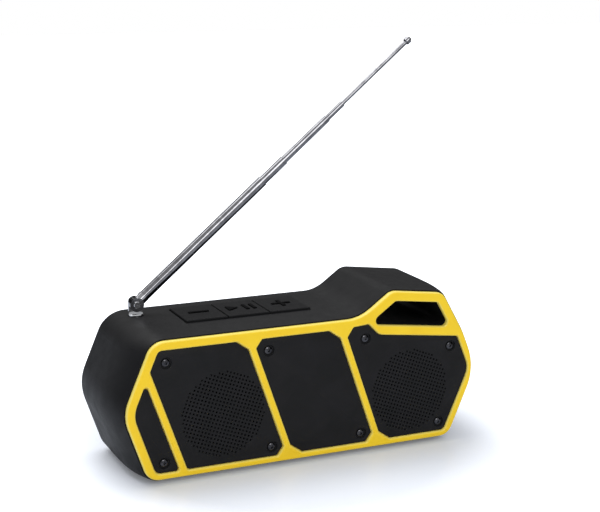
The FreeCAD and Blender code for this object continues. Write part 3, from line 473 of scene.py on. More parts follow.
@dataclass(frozen=True)
class Wound(Finish):
    """Turns of enamelled wire that lie side by side along y."""

    wire: float = 0.12 * MM
    wire_depth: float = 0.05 * MM
    roughness: float = 0.35

    def paint(self, shader: ShaderTree) -> None:
        """Bands across the axis in the colour and the relief.

        Args:
            shader: The shader to fill.
        """
        values = {"Vector": shader.place, "Scale": 1 / self.wire / math.tau * 2, "Distortion": 0.4}
        waves = shader.add("ShaderNodeTexWave", values, wave_type="BANDS", bands_direction="Y")
        bands = waves.outputs["Fac"]
        shader.fill(
            Base_Color=self.blend(shader, bands),
            Roughness=self.roughness,
            Normal=shader.relief(bands, self.wire_depth),
            Metallic=0.8,
        )


@dataclass(frozen=True)
class Fibrous(Finish):
    """Pressed paper or sintered ferrite: short fibres or specks on a dull ground."""

    fibre_size: float = 0.5 * MM
    fibre_depth: float = 0.04 * MM
    roughness: float = 0.8
    roughness_spread: float = 0.08

    def paint(self, shader: ShaderTree) -> None:
        """Specks in the colour, the gloss and the relief.

        Args:
            shader: The shader to fill.
        """
        fibres = shader.noise(self.fibre_size, detail=5.0, distortion=1.2)
        shader.fill(
            Base_Color=self.blend(shader, shader.spread(fibres)),
            Roughness=shader.about(fibres, self.roughness, self.roughness_spread),
            Normal=shader.relief(fibres, self.fibre_depth),
        )


@dataclass(frozen=True)
class PaleFloor(Finish):
    """Pale floor, a little glossy, that the camera sees as white away from the object."""

    roughness: float = 0.35
    specular: float = 0.3
    cloud_size: float = 0.5
    near_glow: float = 0.12
    fade_start: float = 0.11
    fade_end: float = 0.27

    def paint(self, shader: ShaderTree) -> None:
        """Faint clouds in the colour, and a glow that rises with the distance for the camera alone.

        Args:
            shader: The shader to fill.
        """
        distance = shader.length(shader.place)
        glow = shader.spread(distance, self.near_glow, 1.0, self.fade_start, self.fade_end)
        path = shader.add("ShaderNodeLightPath").outputs
        shader.fill(
            Base_Color=self.blend(shader, shader.spread(shader.noise(self.cloud_size, detail=2.0))),
            Roughness=self.roughness,
            Specular_IOR_Level=self.specular,
            Emission_Color=WHITE,
            Emission_Strength=shader.math("MULTIPLY", glow, path["Is Camera Ray"]),
        )


YELLOW = Moulded(
    "yellow_moulding", light=(251, 211, 28), dark=(247, 203, 18), roughness=0.38, mottle_size=30 * MM,
    # The last colour is a painted highlight on the bezel's rounded edges and sides
    grain_depth=0.006 * MM, specular=0.35, coat=0.04, painted_highlight=(248, 224, 104),
)
RUBBERY = Moulded(
    "rubbery_housing", light=(24, 24, 25), dark=(20, 20, 21), roughness=0.5, mottle_size=26 * MM,
    grain_depth=0.03 * MM, specular=0.1,
)
PANEL_BLACK = Moulded(
    "panel_black", light=(27, 26, 27), dark=(21, 21, 21), roughness=0.46, mottle_size=18 * MM,
    # The last colour is a painted highlight on the panels' rounded rims and walls
    grain_size=0.8 * MM, grain_depth=0.045 * MM, specular=0.12, painted_highlight=(44, 44, 46),
)
KEY_RUBBER = Moulded("key_rubber", light=(25, 25, 26), dark=(21, 21, 22), roughness=0.46, specular=0.06)
# Painted shade: the raised symbols are near-black so that they always look as dark as their shaded sides
SYMBOL_RUBBER = Moulded(
    "symbol_rubber", light=(10, 10, 11), dark=(6, 6, 7), roughness=0.5, grain_depth=0.008 * MM,
    specular=0.02,
)
FOOT_RUBBER = Moulded(
    "foot_rubber", light=(34, 34, 34), dark=(26, 26, 26), roughness=0.75, grain_size=0.3 * MM, specular=0.3,
)
CELL_WRAP = Moulded(
    "cell_wrap", light=(36, 96, 150), dark=(30, 84, 138), roughness=0.28, grain_depth=0.004 * MM, coat=0.3,
)
BLACK_STEEL = Moulded(
    "painted_steel", light=(40, 40, 43), dark=(30, 30, 33), roughness=0.42, grain_depth=0.006 * MM,
)
INNER_BLACK = Moulded("inner_moulding", light=(50, 50, 52), dark=(42, 42, 44), roughness=0.6)
SWITCH_BLACK = Moulded("switch_moulding", light=(30, 30, 33), dark=(24, 24, 27), roughness=0.4)
CELL_GROUND = Moulded("cell_backing", light=(30, 33, 46), dark=(24, 27, 38), roughness=0.4)
CHROME = Metal(
    "chrome_plate", light=(122, 122, 125), dark=(94, 94, 97), roughness=0.075, roughness_spread=0.025,
)
BRIGHT_CHROME = Metal(
    "bright_chrome", light=(196, 197, 199), dark=(172, 173, 176), roughness=0.09, roughness_spread=0.03,
    line_length=1.0,
)
ELBOW_BLACK = Metal(
    "black_nickel", light=(154, 154, 157), dark=(112, 112, 115), roughness=0.13, line_length=2.0,
)
SCREW_STEEL = Metal(
    "blackened_screw", light=(74, 74, 77), dark=(50, 50, 53), roughness=0.15, line_length=1.0,
)
ZINC = Metal("zinc_plate", light=(186, 188, 190), dark=(158, 160, 164), roughness=0.35)
SOCKET_PLATE = Metal("socket_plate", light=(204, 204, 202), dark=(182, 182, 182), roughness=0.25)
NICKEL = Metal("nickel_contact", light=(206, 203, 194), dark=(186, 183, 176), roughness=0.22)
SILVER_PRINT = Metal("silver_print", light=(186, 189, 196), dark=(160, 164, 172), roughness=0.4)
CELL_BLUE = CrystalCells("cell_crystal", light=(24, 40, 92), dark=(14, 24, 58))
LACQUER = BoardLacquer("board_lacquer", light=(46, 128, 74), dark=(22, 92, 52))
COPPER = Wound("copper_turns", light=(214, 134, 84), dark=(140, 76, 44))
PAPER = Fibrous("cone_paper", light=(48, 48, 51), dark=(34, 34, 37))
FERRITE = Fibrous("ferrite", light=(70, 70, 73), dark=(52, 52, 55), fibre_size=0.8 * MM, roughness=0.7)
CLEAR = ClearSheet("clear_sheet", light=(255, 255, 255), dark=(226, 236, 240))
FLOOR = PaleFloor("pale_floor", light=(238, 242, 249), dark=(234, 238, 245))


# Meshes


def new_piece(name: str, mesh: Mesh, finish: Finish) -> Object:
    """Turns a mesh under construction into an object at the origin.

    Args:
        name: Name of the piece.
        mesh: The mesh, which is freed.
        finish: Its finish.

    Returns:
        The new object.
    """
    mesh.normal_update()
    data = bpy.data.meshes.new(name)
    mesh.to_mesh(data)
    mesh.free()
    data.materials.append(finish.material())
    piece = bpy.data.objects.new(name, data)
    bpy.context.scene.collection.objects.link(piece)
    shade(piece)
    return piece


def shade(piece: Object) -> None:
    """Shades a piece smooth, with sharp edges past an angle."""
    piece.data.polygons.foreach_set("use_smooth", [True] * len(piece.data.polygons))
    piece.data.set_sharp_from_angle(angle=SMOOTH_ANGLE)


def settle(piece: Object) -> None:
    """Replaces a piece's mesh by what its modifier makes of it, and removes the modifier.

    Args:
        piece: The piece.
    """
    bpy.context.view_layer.update()
    evaluated = piece.evaluated_get(bpy.context.evaluated_depsgraph_get())
    data = bpy.data.meshes.new_from_object(evaluated)
    data.name = piece.name
    piece.modifiers.clear()
    piece.data = data
    shade(piece)


def carve(piece: Object, tool: Object) -> None:
    """Cuts a tool's solid out of a piece and removes the tool.

    Args:
        piece: The piece, whose mesh is replaced.
        tool: The tool.
    """
    modifier = piece.modifiers.new("carve", "BOOLEAN")
    modifier.object = tool
    modifier.operation = "DIFFERENCE"
    modifier.solver = "EXACT"
    modifier.use_self = True
    settle(piece)
    bpy.data.objects.remove(tool)


def area(loop: Loop) -> float:
    """Area of a loop of x, z points.

    Args:
        loop: The loop.

    Returns:
        The area, positive if the loop is anticlockwise from the front and negative otherwise.
    """
    total = 0.0
    for index, point in enumerate(loop):
        before = loop[index - 1]
        total += before.x * point.z - point.x * before.z
    return total / 2


def front_loops(node: Object, depth: float) -> list[Loop]:
    """Loops round the flat forward face of a CAD node, largest first.

    Args:
        node: The CAD node.
        depth: Depth of the face along y.

    Returns:
        Loops of points, each anticlockwise as seen from the front.
    """
    mesh = bmesh.new()
    mesh.from_mesh(node.data)
    bmesh.ops.remove_doubles(mesh, verts=mesh.verts, dist=MERGE)
    flat = {face for face in mesh.faces if all(abs(vert.co.y - depth) < FLATNESS for vert in face.verts)}
    ahead: dict[bmesh.types.BMVert, list[bmesh.types.BMVert]] = {}
    for edge in mesh.edges:
        if sum(face in flat for face in edge.link_faces) == 1:
            first, second = edge.verts
            ahead.setdefault(first, []).append(second)
            ahead.setdefault(second, []).append(first)
    loops = []
    while ahead:
        start = next(iter(ahead))
        loop = [start]
        last, here = None, start
        while True:
            onward = [vert for vert in ahead[here] if vert is not last]
            last, here = here, onward[0]
            if here is start:
                break
            loop.append(here)
        for vert in loop:
            del ahead[vert]
        points = [Vector((vert.co.x, 0, vert.co.z)) for vert in loop]
        loops.append(points if area(points) > 0 else points[::-1])
    mesh.free()
    return sorted(loops, key=lambda item: -abs(area(item)))


def inset(loop: Loop, distance: float) -> Loop:
    """Moves an anticlockwise loop inwards.

    Args:
        loop: The loop, in the x-z plane.
        distance: How far each side moves.

    Returns:
        The moved loop, with mitred corners.
    """
    moved = []
    for index, point in enumerate(loop):
        before = (point - loop[index - 1]).normalized()
        after = (loop[(index + 1) % len(loop)] - point).normalized()
        way = (before + after).normalized()
        reach = distance / max(way.dot(before), LEAST_MITRE)
        moved.append(point + Vector((-way.z, 0, way.x)) * reach)
    return moved


def circle(centre: Vector, radius: float, count: int) -> Loop:
    """Anticlockwise circle in the x-z plane, of a count of points."""
    turns = [math.tau * index / count for index in range(count)]
    return [centre + Vector((math.cos(turn), 0, math.sin(turn))) * radius for turn in turns]


def oblong(x: float, across: float, up: float) -> Plan:
    """Anticlockwise corners of an oblong round x, 0, from half its width and half its height."""
    return [(x - across, -up), (x + across, -up), (x + across, up), (x - across, up)]


def ring(mesh: Mesh, loop: Loop, depth: float) -> Ring:
    """Adds a loop's points at a depth."""
    return [mesh.verts.new((point.x, depth, point.z)) for point in loop]


def bridge(mesh: Mesh, rings: Sequence[Ring], flip: bool = False) -> None:
    """Joins rings of equal count with a wall.

    Args:
        mesh: The mesh.
        rings: The rings. The wall looks outwards if they are anticlockwise as seen from the last one.
        flip: True to turn the wall over.
    """
    for first, second in zip(rings, rings[1:]):
        for index in range(len(first)):
            quad = (first[index - 1], first[index], second[index], second[index - 1])
            distinct = list(dict.fromkeys(quad))
            if len(distinct) > 2:
                mesh.faces.new(distinct[::-1] if flip else distinct)


def cap(mesh: Mesh, outer: Ring, holes: Sequence[Ring], forward: bool) -> None:
    """Fills a flat face with holes in it.

    Args:
        mesh: The mesh.
        outer: Ring round the face.
        holes: Rings round its holes.
        forward: True if the face looks forwards.
    """
    verts = list(outer) + [vert for hole in holes for vert in hole]
    polygons = [[Vector((vert.co.x, vert.co.z, 0)) for vert in item] for item in (outer, *holes)]
    for triangle in tessellate_polygon(polygons):
        points = [verts[index] for index in triangle]
        first, second, third = (vert.co for vert in points)
        looks_forward = (second - first).cross(third - first).y < 0
        mesh.faces.new(points if looks_forward == forward else points[::-1])


def turned(mesh: Mesh, profile: Plan, count: int, place: Matrix) -> None:
    """Adds a solid of revolution.

    Args:
        mesh: The mesh.
        profile: Radius and height pairs from the bottom of the axis to its top. Ends lie on the axis.
        count: Number of sides.
        place: Where the solid goes. Its axis is z.
    """
    rows = []
    for radius, height in profile:
        if radius < MERGE:
            rows.append([mesh.verts.new(place @ Vector((0, 0, height)))] * count)
            continue
        points = []
        for index in range(count):
            turn = math.tau * index / count
            point = Vector((radius * math.cos(turn), radius * math.sin(turn), height))
            points.append(mesh.verts.new(place @ point))
        rows.append(points)
    bridge(mesh, rows)


def bar(mesh: Mesh, plan: Plan, low: float, high: float, edge: float) -> None:
    """Adds an upright bar with a bevelled top from its plan.

    Args:
        mesh: The mesh.
        plan: Anticlockwise x, y corners.
        low: Height of its foot.
        high: Height of its top.
        edge: Width of the bevel round its top.
    """
    outline = [Vector((x, 0, y)) for x, y in plan]
    rows = []
    for loop, height in ((outline, low), (outline, high - edge), (inset(outline, edge), high)):
        rows.append([mesh.verts.new((point.x, point.z, height)) for point in loop])
    bridge(mesh, rows)
    mesh.faces.new(rows[-1])
    mesh.faces.new(rows[0][::-1])


def rounded_plan(points: Plan, radius: float, steps: int = 4) -> Plan:
    """Rounds the corners of an anticlockwise plan.

    Args:
        points: Its x, y corners.
        radius: Radius of the rounding.
        steps: Straight pieces in each rounding.

    Returns:
        The corners of the rounded plan.
    """
    plan = []
    for index, (x, y) in enumerate(points):
        here = Vector((x, y))
        before = (Vector(points[index - 1]) - here).normalized()
        after = (Vector(points[(index + 1) % len(points)]) - here).normalized()
        half = before.angle(after) / 2
        reach = radius / math.tan(half)
        centre = here + (before + after).normalized() * (radius / math.sin(half))
        start = here + before * reach - centre
        end = here + after * reach - centre
        turn = start.angle_signed(end)
        for step in range(steps + 1):
            spoke = start.copy()
            spoke.rotate(Matrix.Rotation(-turn * step / steps, 2))
            plan.append(tuple(centre + spoke))
    return plan


# Geometry node trees


class RepeatTree(NodeTree):
    """A geometry node tree that is run once and leaves a plain mesh."""

    def __init__(self, name: str, inputs: dict[str, Sequence[str]]) -> None:
        """Makes the tree with its named inputs and one for the material.

        Args:
            name: Name of the tree.
            inputs: Names of the inputs by socket type.
        """
        super().__init__(bpy.data.node_groups.new(name, "GeometryNodeTree"))
        interface = self.tree.interface
        interface.new_socket("Geometry", in_out="INPUT", socket_type="NodeSocketGeometry")
        interface.new_socket("Geometry", in_out="OUTPUT", socket_type="NodeSocketGeometry")
        self.identifiers = {}
        for kind, labels in {**inputs, "NodeSocketMaterial": ["Material"]}.items():
            for label in labels:
                socket = interface.new_socket(label, in_out="INPUT", socket_type=kind)
                self.identifiers[label] = socket.identifier
        self.given = self.add("NodeGroupInput").outputs

    def grid(self, counts: Sequence[Socket], pitches: Sequence[Socket]) -> Socket:
        """Flat grid of points round the origin.

        Args:
            counts: Count of points along x and y.
            pitches: Distance between them along x and y.

        Returns:
            The socket with the grid.
        """
        spans = [self.math("MULTIPLY", pitch, self.math("SUBTRACT", count, 1))
                 for count, pitch in zip(counts, pitches)]
        return self.add("GeometryNodeMeshGrid", {
            "Size X": spans[0], "Size Y": spans[1], "Vertices X": counts[0], "Vertices Y": counts[1],
        }).outputs["Mesh"]

    def blocks(self, points: Socket, size: Socket) -> Socket:
        """One block of a size at each point."""
        block = self.add("GeometryNodeMeshCube", {"Size": size}).outputs["Mesh"]
        values = {"Points": points, "Instance": block}
        return self.add("GeometryNodeInstanceOnPoints", values).outputs["Instances"]

    def end(self, geometry: Socket) -> None:
        """Ends the tree with realised instances and the material input.

        Args:
            geometry: The socket with the tree's result.
        """
        real = self.add("GeometryNodeRealizeInstances", {"Geometry": geometry}).outputs["Geometry"]
        values = {"Geometry": real, "Material": self.given["Material"]}
        dressed = self.add("GeometryNodeSetMaterial", values).outputs["Geometry"]
        self.add("NodeGroupOutput", {"Geometry": dressed})

    def run(self, base: Object, finish: Finish, values: dict[str, Any]) -> None:
        """Runs the tree on an object and keeps the result as its mesh.

        Args:
            base: The object, whose mesh is replaced.
            finish: Finish of the result.
            values: Value of each input by name.
        """
        modifier = base.modifiers.new("repeat", "NODES")
        modifier.node_group = self.tree
        for label, value in {**values, "Material": finish.material()}.items():
            modifier[self.identifiers[label]] = value
        settle(base)


def perforation_tree() -> RepeatTree:
    """Tree that cuts a turned square grid of square holes in a round field.

    Returns:
        The tree.
    """
    repeat = RepeatTree("perforation", {
        "NodeSocketFloat": ["Pitch", "Hole", "Field Radius", "Depth"],
        "NodeSocketInt": ["Rows"],
        "NodeSocketVector": ["Turn", "Centre"],
    })
    given = repeat.given
    grid = repeat.grid([given["Rows"]] * 2, [given["Pitch"]] * 2)
    reach = repeat.length(repeat.add("GeometryNodeInputPosition").outputs["Position"])
    limit = repeat.math("SUBTRACT", given["Field Radius"], repeat.math("MULTIPLY", given["Hole"], 0.5))
    outside = repeat.add("FunctionNodeCompare", {0: reach, 1: limit}).outputs["Result"]
    kept = repeat.add("GeometryNodeDeleteGeometry", {"Geometry": grid, "Selection": outside})
    size = repeat.add("ShaderNodeCombineXYZ", {"X": given["Hole"], "Y": given["Hole"], "Z": given["Depth"]})
    holes = repeat.blocks(kept.outputs["Geometry"], size.outputs["Vector"])
    real = repeat.add("GeometryNodeRealizeInstances", {"Geometry": holes}).outputs["Geometry"]
    placed = repeat.add("GeometryNodeTransform", {
        "Geometry": real, "Translation": given["Centre"], "Rotation": given["Turn"],
    }).outputs["Geometry"]
    values = {0: given["Geometry"], 1: placed}
    cut = repeat.add("GeometryNodeMeshBoolean", values, operation="DIFFERENCE", solver="MANIFOLD")
    repeat.end(cut.outputs["Mesh"])
    return repeat


def fastener_tree() -> RepeatTree:
    """Tree that puts one fastener at each point, turned about y by a seeded amount.

    Returns:
        The tree.
    """
    repeat = RepeatTree("fasteners", {"NodeSocketObject": ["Fastener"], "NodeSocketInt": ["Seed"]})
    given = repeat.given
    source = repeat.add("GeometryNodeObjectInfo", {"Object": given["Fastener"]}, transform_space="ORIGINAL")
    turns = {RANDOM_LOW: 0.0, RANDOM_HIGH: math.tau, "Seed": given["Seed"]}
    turn = repeat.add("FunctionNodeRandomValue", turns, data_type="FLOAT").outputs[RANDOM_RESULT]
    placed = repeat.add("GeometryNodeInstanceOnPoints", {
        "Points": given["Geometry"],
        "Instance": source.outputs["Geometry"],
        "Rotation": repeat.add("ShaderNodeCombineXYZ", {"Y": turn}).outputs["Vector"],
    })
    repeat.end(placed.outputs["Instances"])
    return repeat


def strip_tree() -> RepeatTree:
    """Tree that lays an upright grid of equal blocks.

    Returns:
        The tree.
    """
    repeat = RepeatTree("strips", {
        "NodeSocketInt": ["Columns", "Rows"],
        "NodeSocketFloat": ["Column Pitch", "Row Pitch"],
        "NodeSocketVector": ["Block", "Centre"],
    })
    given = repeat.given
    grid = repeat.grid([given["Columns"], given["Rows"]], [given["Column Pitch"], given["Row Pitch"]])
    upright = repeat.add("GeometryNodeTransform", {
        "Geometry": grid, "Rotation": (QUARTER_TURN, 0, 0), "Translation": given["Centre"],
    })
    repeat.end(repeat.blocks(upright.outputs["Geometry"], given["Block"]))
    return repeat


# Sub-assemblies


@dataclass
class SubAssembly:
    """A part of the radio that makes its own pieces and dresses its CAD nodes."""

    frame: Frame

    def dress(self, finish: Finish, *names: str) -> None:
        """Gives CAD nodes a finish.

        Args:
            finish: The finish.
            *names: Names of the nodes.
        """
        for name in names:
            node = self.frame["nodes"][name]
            if not node.material_slots:
                node.data.materials.append(finish.material())
            for place in node.material_slots:
                place.material = finish.material()
            LOG.info("%s has the finish %s", name, finish.name)

    def report(self, piece: Object) -> None:
        """Logs a new piece."""
        LOG.info("%s has %d faces", piece.name, len(piece.data.polygons))


# Front of the radio


@dataclass
class FrontPanels(SubAssembly):
    """The four panels in the bezel's windows, two of them perforated, and the bezel's finish."""

    edge: float = 0.3 * MM
    edge_middle: float = 0.3
    plate_depth: float = 1.0 * MM
    step: float = 1.2 * MM
    seat_depth: float = 1.5 * MM
    seat_radius: float = 3.9 * MM
    seat_sides: int = 40
    least_seat_radius: float = 3.0 * MM
    hole_radius: float = 1.7 * MM
    pitch: float = 2.4 * MM
    hole: float = 1.25 * MM
    cut_depth: float = 4 * MM
    field_radius: float = 28.1 * MM
    turn: float = math.radians(21)
    seats: list[Vector] = field(default_factory=list)

    def rounding(self, radius: float, front: float) -> Plan:
        """Radius and depth of the three points that round a front edge down to a radius."""
        near = self.edge * self.edge_middle
        return [(radius + self.edge, front), (radius + near, front + near), (radius, front + self.edge)]

    def plate(self, name: str) -> Object:
        """Builds one panel with a rounded rim and bevelled screw seats.

        Args:
            name: CAD node of the panel.

        Returns:
            The new piece.
        """
        front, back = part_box(name)[0].y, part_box(name)[1].y
        loops = front_loops(self.frame["nodes"][name], front)
        least_area = math.pi * self.least_seat_radius ** 2
        seats = [sum(loop, Vector()) / len(loop) for loop in loops[1:] if area(loop) > least_area]
        self.seats += [Vector((seat.x, front + self.seat_depth, seat.z)) for seat in seats]
        mesh = bmesh.new()
        rim = self.rounding(0.0, front) + [
            (0.0, front + self.plate_depth),
            (self.step, front + self.plate_depth),
            (self.step, back),
        ]
        walls = [ring(mesh, inset(loops[0], distance), depth) for distance, depth in rim]
        bridge(mesh, walls, flip=True)
        profile = self.rounding(self.seat_radius, front) + [
            (self.seat_radius, front + self.seat_depth),
            (self.hole_radius, front + self.seat_depth),
            (self.hole_radius, back),
        ]
        fronts, backs = [], []
        for seat in seats:
            rings = [ring(mesh, circle(seat, radius, self.seat_sides), depth) for radius, depth in profile]
            bridge(mesh, rings)
            fronts.append(rings[0])
            backs.append(rings[-1])
        cap(mesh, walls[0], fronts, forward=True)
        cap(mesh, walls[-1], backs, forward=False)
        return new_piece(name + "_fine", mesh, PANEL_BLACK)

    def perforate(self, piece: Object, repeat: RepeatTree, speaker: str) -> None:
        """Cuts the perforated field in front of a loudspeaker.

        Args:
            piece: The panel.
            repeat: The perforation tree.
            speaker: CAD node of the loudspeaker's cone.
        """
        low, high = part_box(speaker)
        panel_low, panel_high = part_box("centre_panel")
        centre = Vector(((low.x + high.x) / 2, (panel_low.y + panel_high.y) / 2, (low.z + high.z) / 2))
        repeat.run(piece, PANEL_BLACK, {
            "Pitch": self.pitch,
            "Hole": self.hole,
            "Rows": 2 * int(self.field_radius / self.pitch) + 1,
            "Field Radius": self.field_radius,
            "Depth": self.cut_depth,
            "Turn": (QUARTER_TURN, self.turn, 0.0),
            "Centre": centre,
        })

    def build(self) -> None:
        """Makes all four panels, puts them on the body and dresses the bezel."""
        repeat = perforation_tree()
        for name in ("badge_plate", "left_grille", "centre_panel", "right_grille"):
            piece = self.plate(name)
            if name.endswith("grille"):
                self.perforate(piece, repeat, name.replace("grille", "speaker_cone"))
            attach(piece, "chassis")
            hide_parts(name)
            self.report(piece)
        self.dress(YELLOW, "front_bezel")


@dataclass
class PanelScrews:
    """Domed screws with a cross recess in the panels' seats."""

    seats: list[Vector]
    head_radius: float = 2.7 * MM
    head_height: float = 1.45 * MM
    head_sides: int = 40
    crown_steps: int = 9
    rim: float = 0.35 * MM
    shank_radius: float = 1.5 * MM
    shank_length: float = 16 * MM
    slot_length: float = 1.25 * MM
    slot_width: float = 0.42 * MM
    slot_depth: float = 0.8 * MM
    slot_taper: float = 0.45
    seed: int = 7

    def screw(self) -> Object:
        """Builds one screw at the origin, with its head looking along -y and its seat at y 0.

        Returns:
            The screw.
        """
        mesh = bmesh.new()
        profile = [
            (0.0, -self.shank_length),
            (self.shank_radius, -self.shank_length),
            (self.shank_radius, 0.0),
            (self.head_radius, 0.0),
            (self.head_radius, self.rim),
        ]
        crown = self.head_height - self.rim
        for step in range(1, self.crown_steps):
            turn = QUARTER_TURN * step / self.crown_steps
            profile.append((self.head_radius * math.cos(turn), self.rim + crown * math.sin(turn)))
        profile.append((0.0, self.head_height))
        turned(mesh, profile, self.head_sides, Matrix.Rotation(QUARTER_TURN, 4, "X"))
        head = new_piece("screw_source", mesh, SCREW_STEEL)
        carve(head, self.recess())
        return head

    def recess(self) -> Object:
        """Builds the tool for the cross recess, which narrows downwards.

        Returns:
            The tool.
        """
        mesh = bmesh.new()
        floor = -(self.head_height - self.slot_depth)
        top = -(self.head_height + self.rim)
        for length, width in ((self.slot_length, self.slot_width), (self.slot_width, self.slot_length)):
            corners = oblong(0.0, length, width)
            low = [mesh.verts.new((x * self.slot_taper, floor, z * self.slot_taper)) for x, z in corners]
            high = [mesh.verts.new((x, top, z)) for x, z in corners]
            mesh.faces.new(low)
            mesh.faces.new(high[::-1])
            bridge(mesh, (low, high))
            bmesh.ops.recalc_face_normals(mesh, faces=mesh.faces)
        return new_piece("recess_tool", mesh, SCREW_STEEL)

    def build(self) -> None:
        """Puts a screw in each seat."""
        source = self.screw()
        mesh = bmesh.new()
        for seat in self.seats:
            mesh.verts.new(seat)
        piece = new_piece("panel_screw_set", mesh, SCREW_STEEL)
        fastener_tree().run(piece, SCREW_STEEL, {"Fastener": source, "Seed": self.seed})
        bpy.data.objects.remove(source)
        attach(piece, "chassis")
        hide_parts("panel_screws")
        LOG.info("%s has %d screws", piece.name, len(self.seats))


# Keys


class Symbol(Enum):
    """What a key shows."""

    MINUS = "minus"
    PLAY_PAUSE = "play"
    PLUS = "plus"


@dataclass
class TopKeys(SubAssembly):
    """Finish of the keys and their raised symbols."""

    rise: float = 0.7 * MM
    sunk: float = 0.3 * MM
    stroke: float = 2.4 * MM
    bevel: float = 0.25 * MM
    corner: float = 0.5 * MM
    minus_length: float = 14 * MM
    plus_length: float = 13 * MM
    triangle: float = 8.0 * MM
    triangle_half: float = 4.8 * MM
    pause_length: float = 11 * MM
    pause_gap: float = 5.0 * MM

    def plans(self, symbol: Symbol) -> list[Plan]:
        """Plans of a symbol's strokes round the key's middle.

        Args:
            symbol: The symbol.

        Returns:
            Anticlockwise plans that don't overlap.
        """
        half = self.stroke / 2
        if symbol is Symbol.MINUS:
            return [oblong(0.0, self.minus_length / 2, half)]
        if symbol is Symbol.PLUS:
            reach = self.plus_length / 2
            return [[
                (half, -reach), (half, -half), (reach, -half),
                (reach, half), (half, half), (half, reach),
                (-half, reach), (-half, half), (-reach, half),
                (-reach, -half), (-half, -half), (-half, -reach),
            ]]
        left = -self.triangle - half
        plans = [[(left, -self.triangle_half), (left + self.triangle, 0.0), (left, self.triangle_half)]]
        for x in (half + self.stroke, half + self.stroke + self.pause_gap):
            plans.append(oblong(x, half, self.pause_length / 2))
        return plans

    def build(self) -> None:
        """Dresses the keys and adds their symbols."""
        for symbol in Symbol:
            node = symbol.value + "_key"
            low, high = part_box(node)
            x, y = (low.x + high.x) / 2, (low.y + high.y) / 2
            mesh = bmesh.new()
            for plan in self.plans(symbol):
                outline = [(x + right, y + back) for right, back in plan]
                if symbol is not Symbol.PLUS:
                    outline = rounded_plan(outline, self.corner)
                bar(mesh, outline, high.z - self.sunk, high.z + self.rise, self.bevel)
            piece = new_piece(symbol.value + "_symbol", mesh, SYMBOL_RUBBER)
            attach(piece, symbol.value + "_button")
            self.report(piece)
            self.dress(KEY_RUBBER, node)
            self.dress(SWITCH_BLACK, symbol.value + "_plunger")


# Antenna


@dataclass
class TelescopicAntenna(SubAssembly):
    """Finish of the antenna and the slotted pin at its pivot."""

    pin_radius: float = 1.3 * MM
    pin_sides: int = 48
    head_height: float = 0.7 * MM
    head_bevel: float = 0.25 * MM
    slot_width: float = 0.7 * MM
    slot_depth: float = 0.45 * MM
    slot_turn: float = math.radians(35)
    tubes: int = 4

    def pivot_pin(self) -> None:
        """Replaces the pivot pin with one that has bevelled heads and a slot in the front one."""
        low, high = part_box("antenna_pivot_pin")
        centre = (low + high) / 2
        head = (high.x - low.x) / 2
        length = high.y - low.y
        near_head = [
            (0.0, 0.0),
            (head - self.head_bevel, 0.0),
            (head, self.head_bevel),
            (head, self.head_height),
            (self.pin_radius, self.head_height),
        ]
        far_head = [(radius, length - height) for radius, height in reversed(near_head)]
        mesh = bmesh.new()
        place = Matrix.Translation((centre.x, high.y, centre.z)) @ Matrix.Rotation(QUARTER_TURN, 4, "X")
        turned(mesh, near_head + far_head, self.pin_sides, place)
        piece = new_piece("slotted_pivot_pin", mesh, BRIGHT_CHROME)
        cutter = bmesh.new()
        bmesh.ops.create_cube(cutter, size=1.0)
        # The cutter is longer than the head is wide, and half of its depth stands in front of the head
        size = Matrix.Diagonal((head * 3, self.slot_depth * 2, self.slot_width, 1.0))
        turn = Matrix.Rotation(self.slot_turn, 4, "Y")
        front = Matrix.Translation((centre.x, low.y, centre.z))
        bmesh.ops.transform(cutter, matrix=front @ turn @ size, verts=cutter.verts)
        carve(piece, new_piece("slot_tool", cutter, BRIGHT_CHROME))
        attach(piece, "antenna_base")
        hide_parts("antenna_pivot_pin")
        self.report(piece)

    def build(self) -> None:
        """Makes the pin and dresses the foot, elbow, tubes and nut."""
        self.pivot_pin()
        tubes = [f"antenna_tube_{index + 1}" for index in range(self.tubes)]
        self.dress(BRIGHT_CHROME, "antenna_foot")
        self.dress(CHROME, "antenna_rod", "antenna_tip", *tubes)
        self.dress(ELBOW_BLACK, "antenna_elbow")
        self.dress(ZINC, "antenna_nut")


# Back of the radio


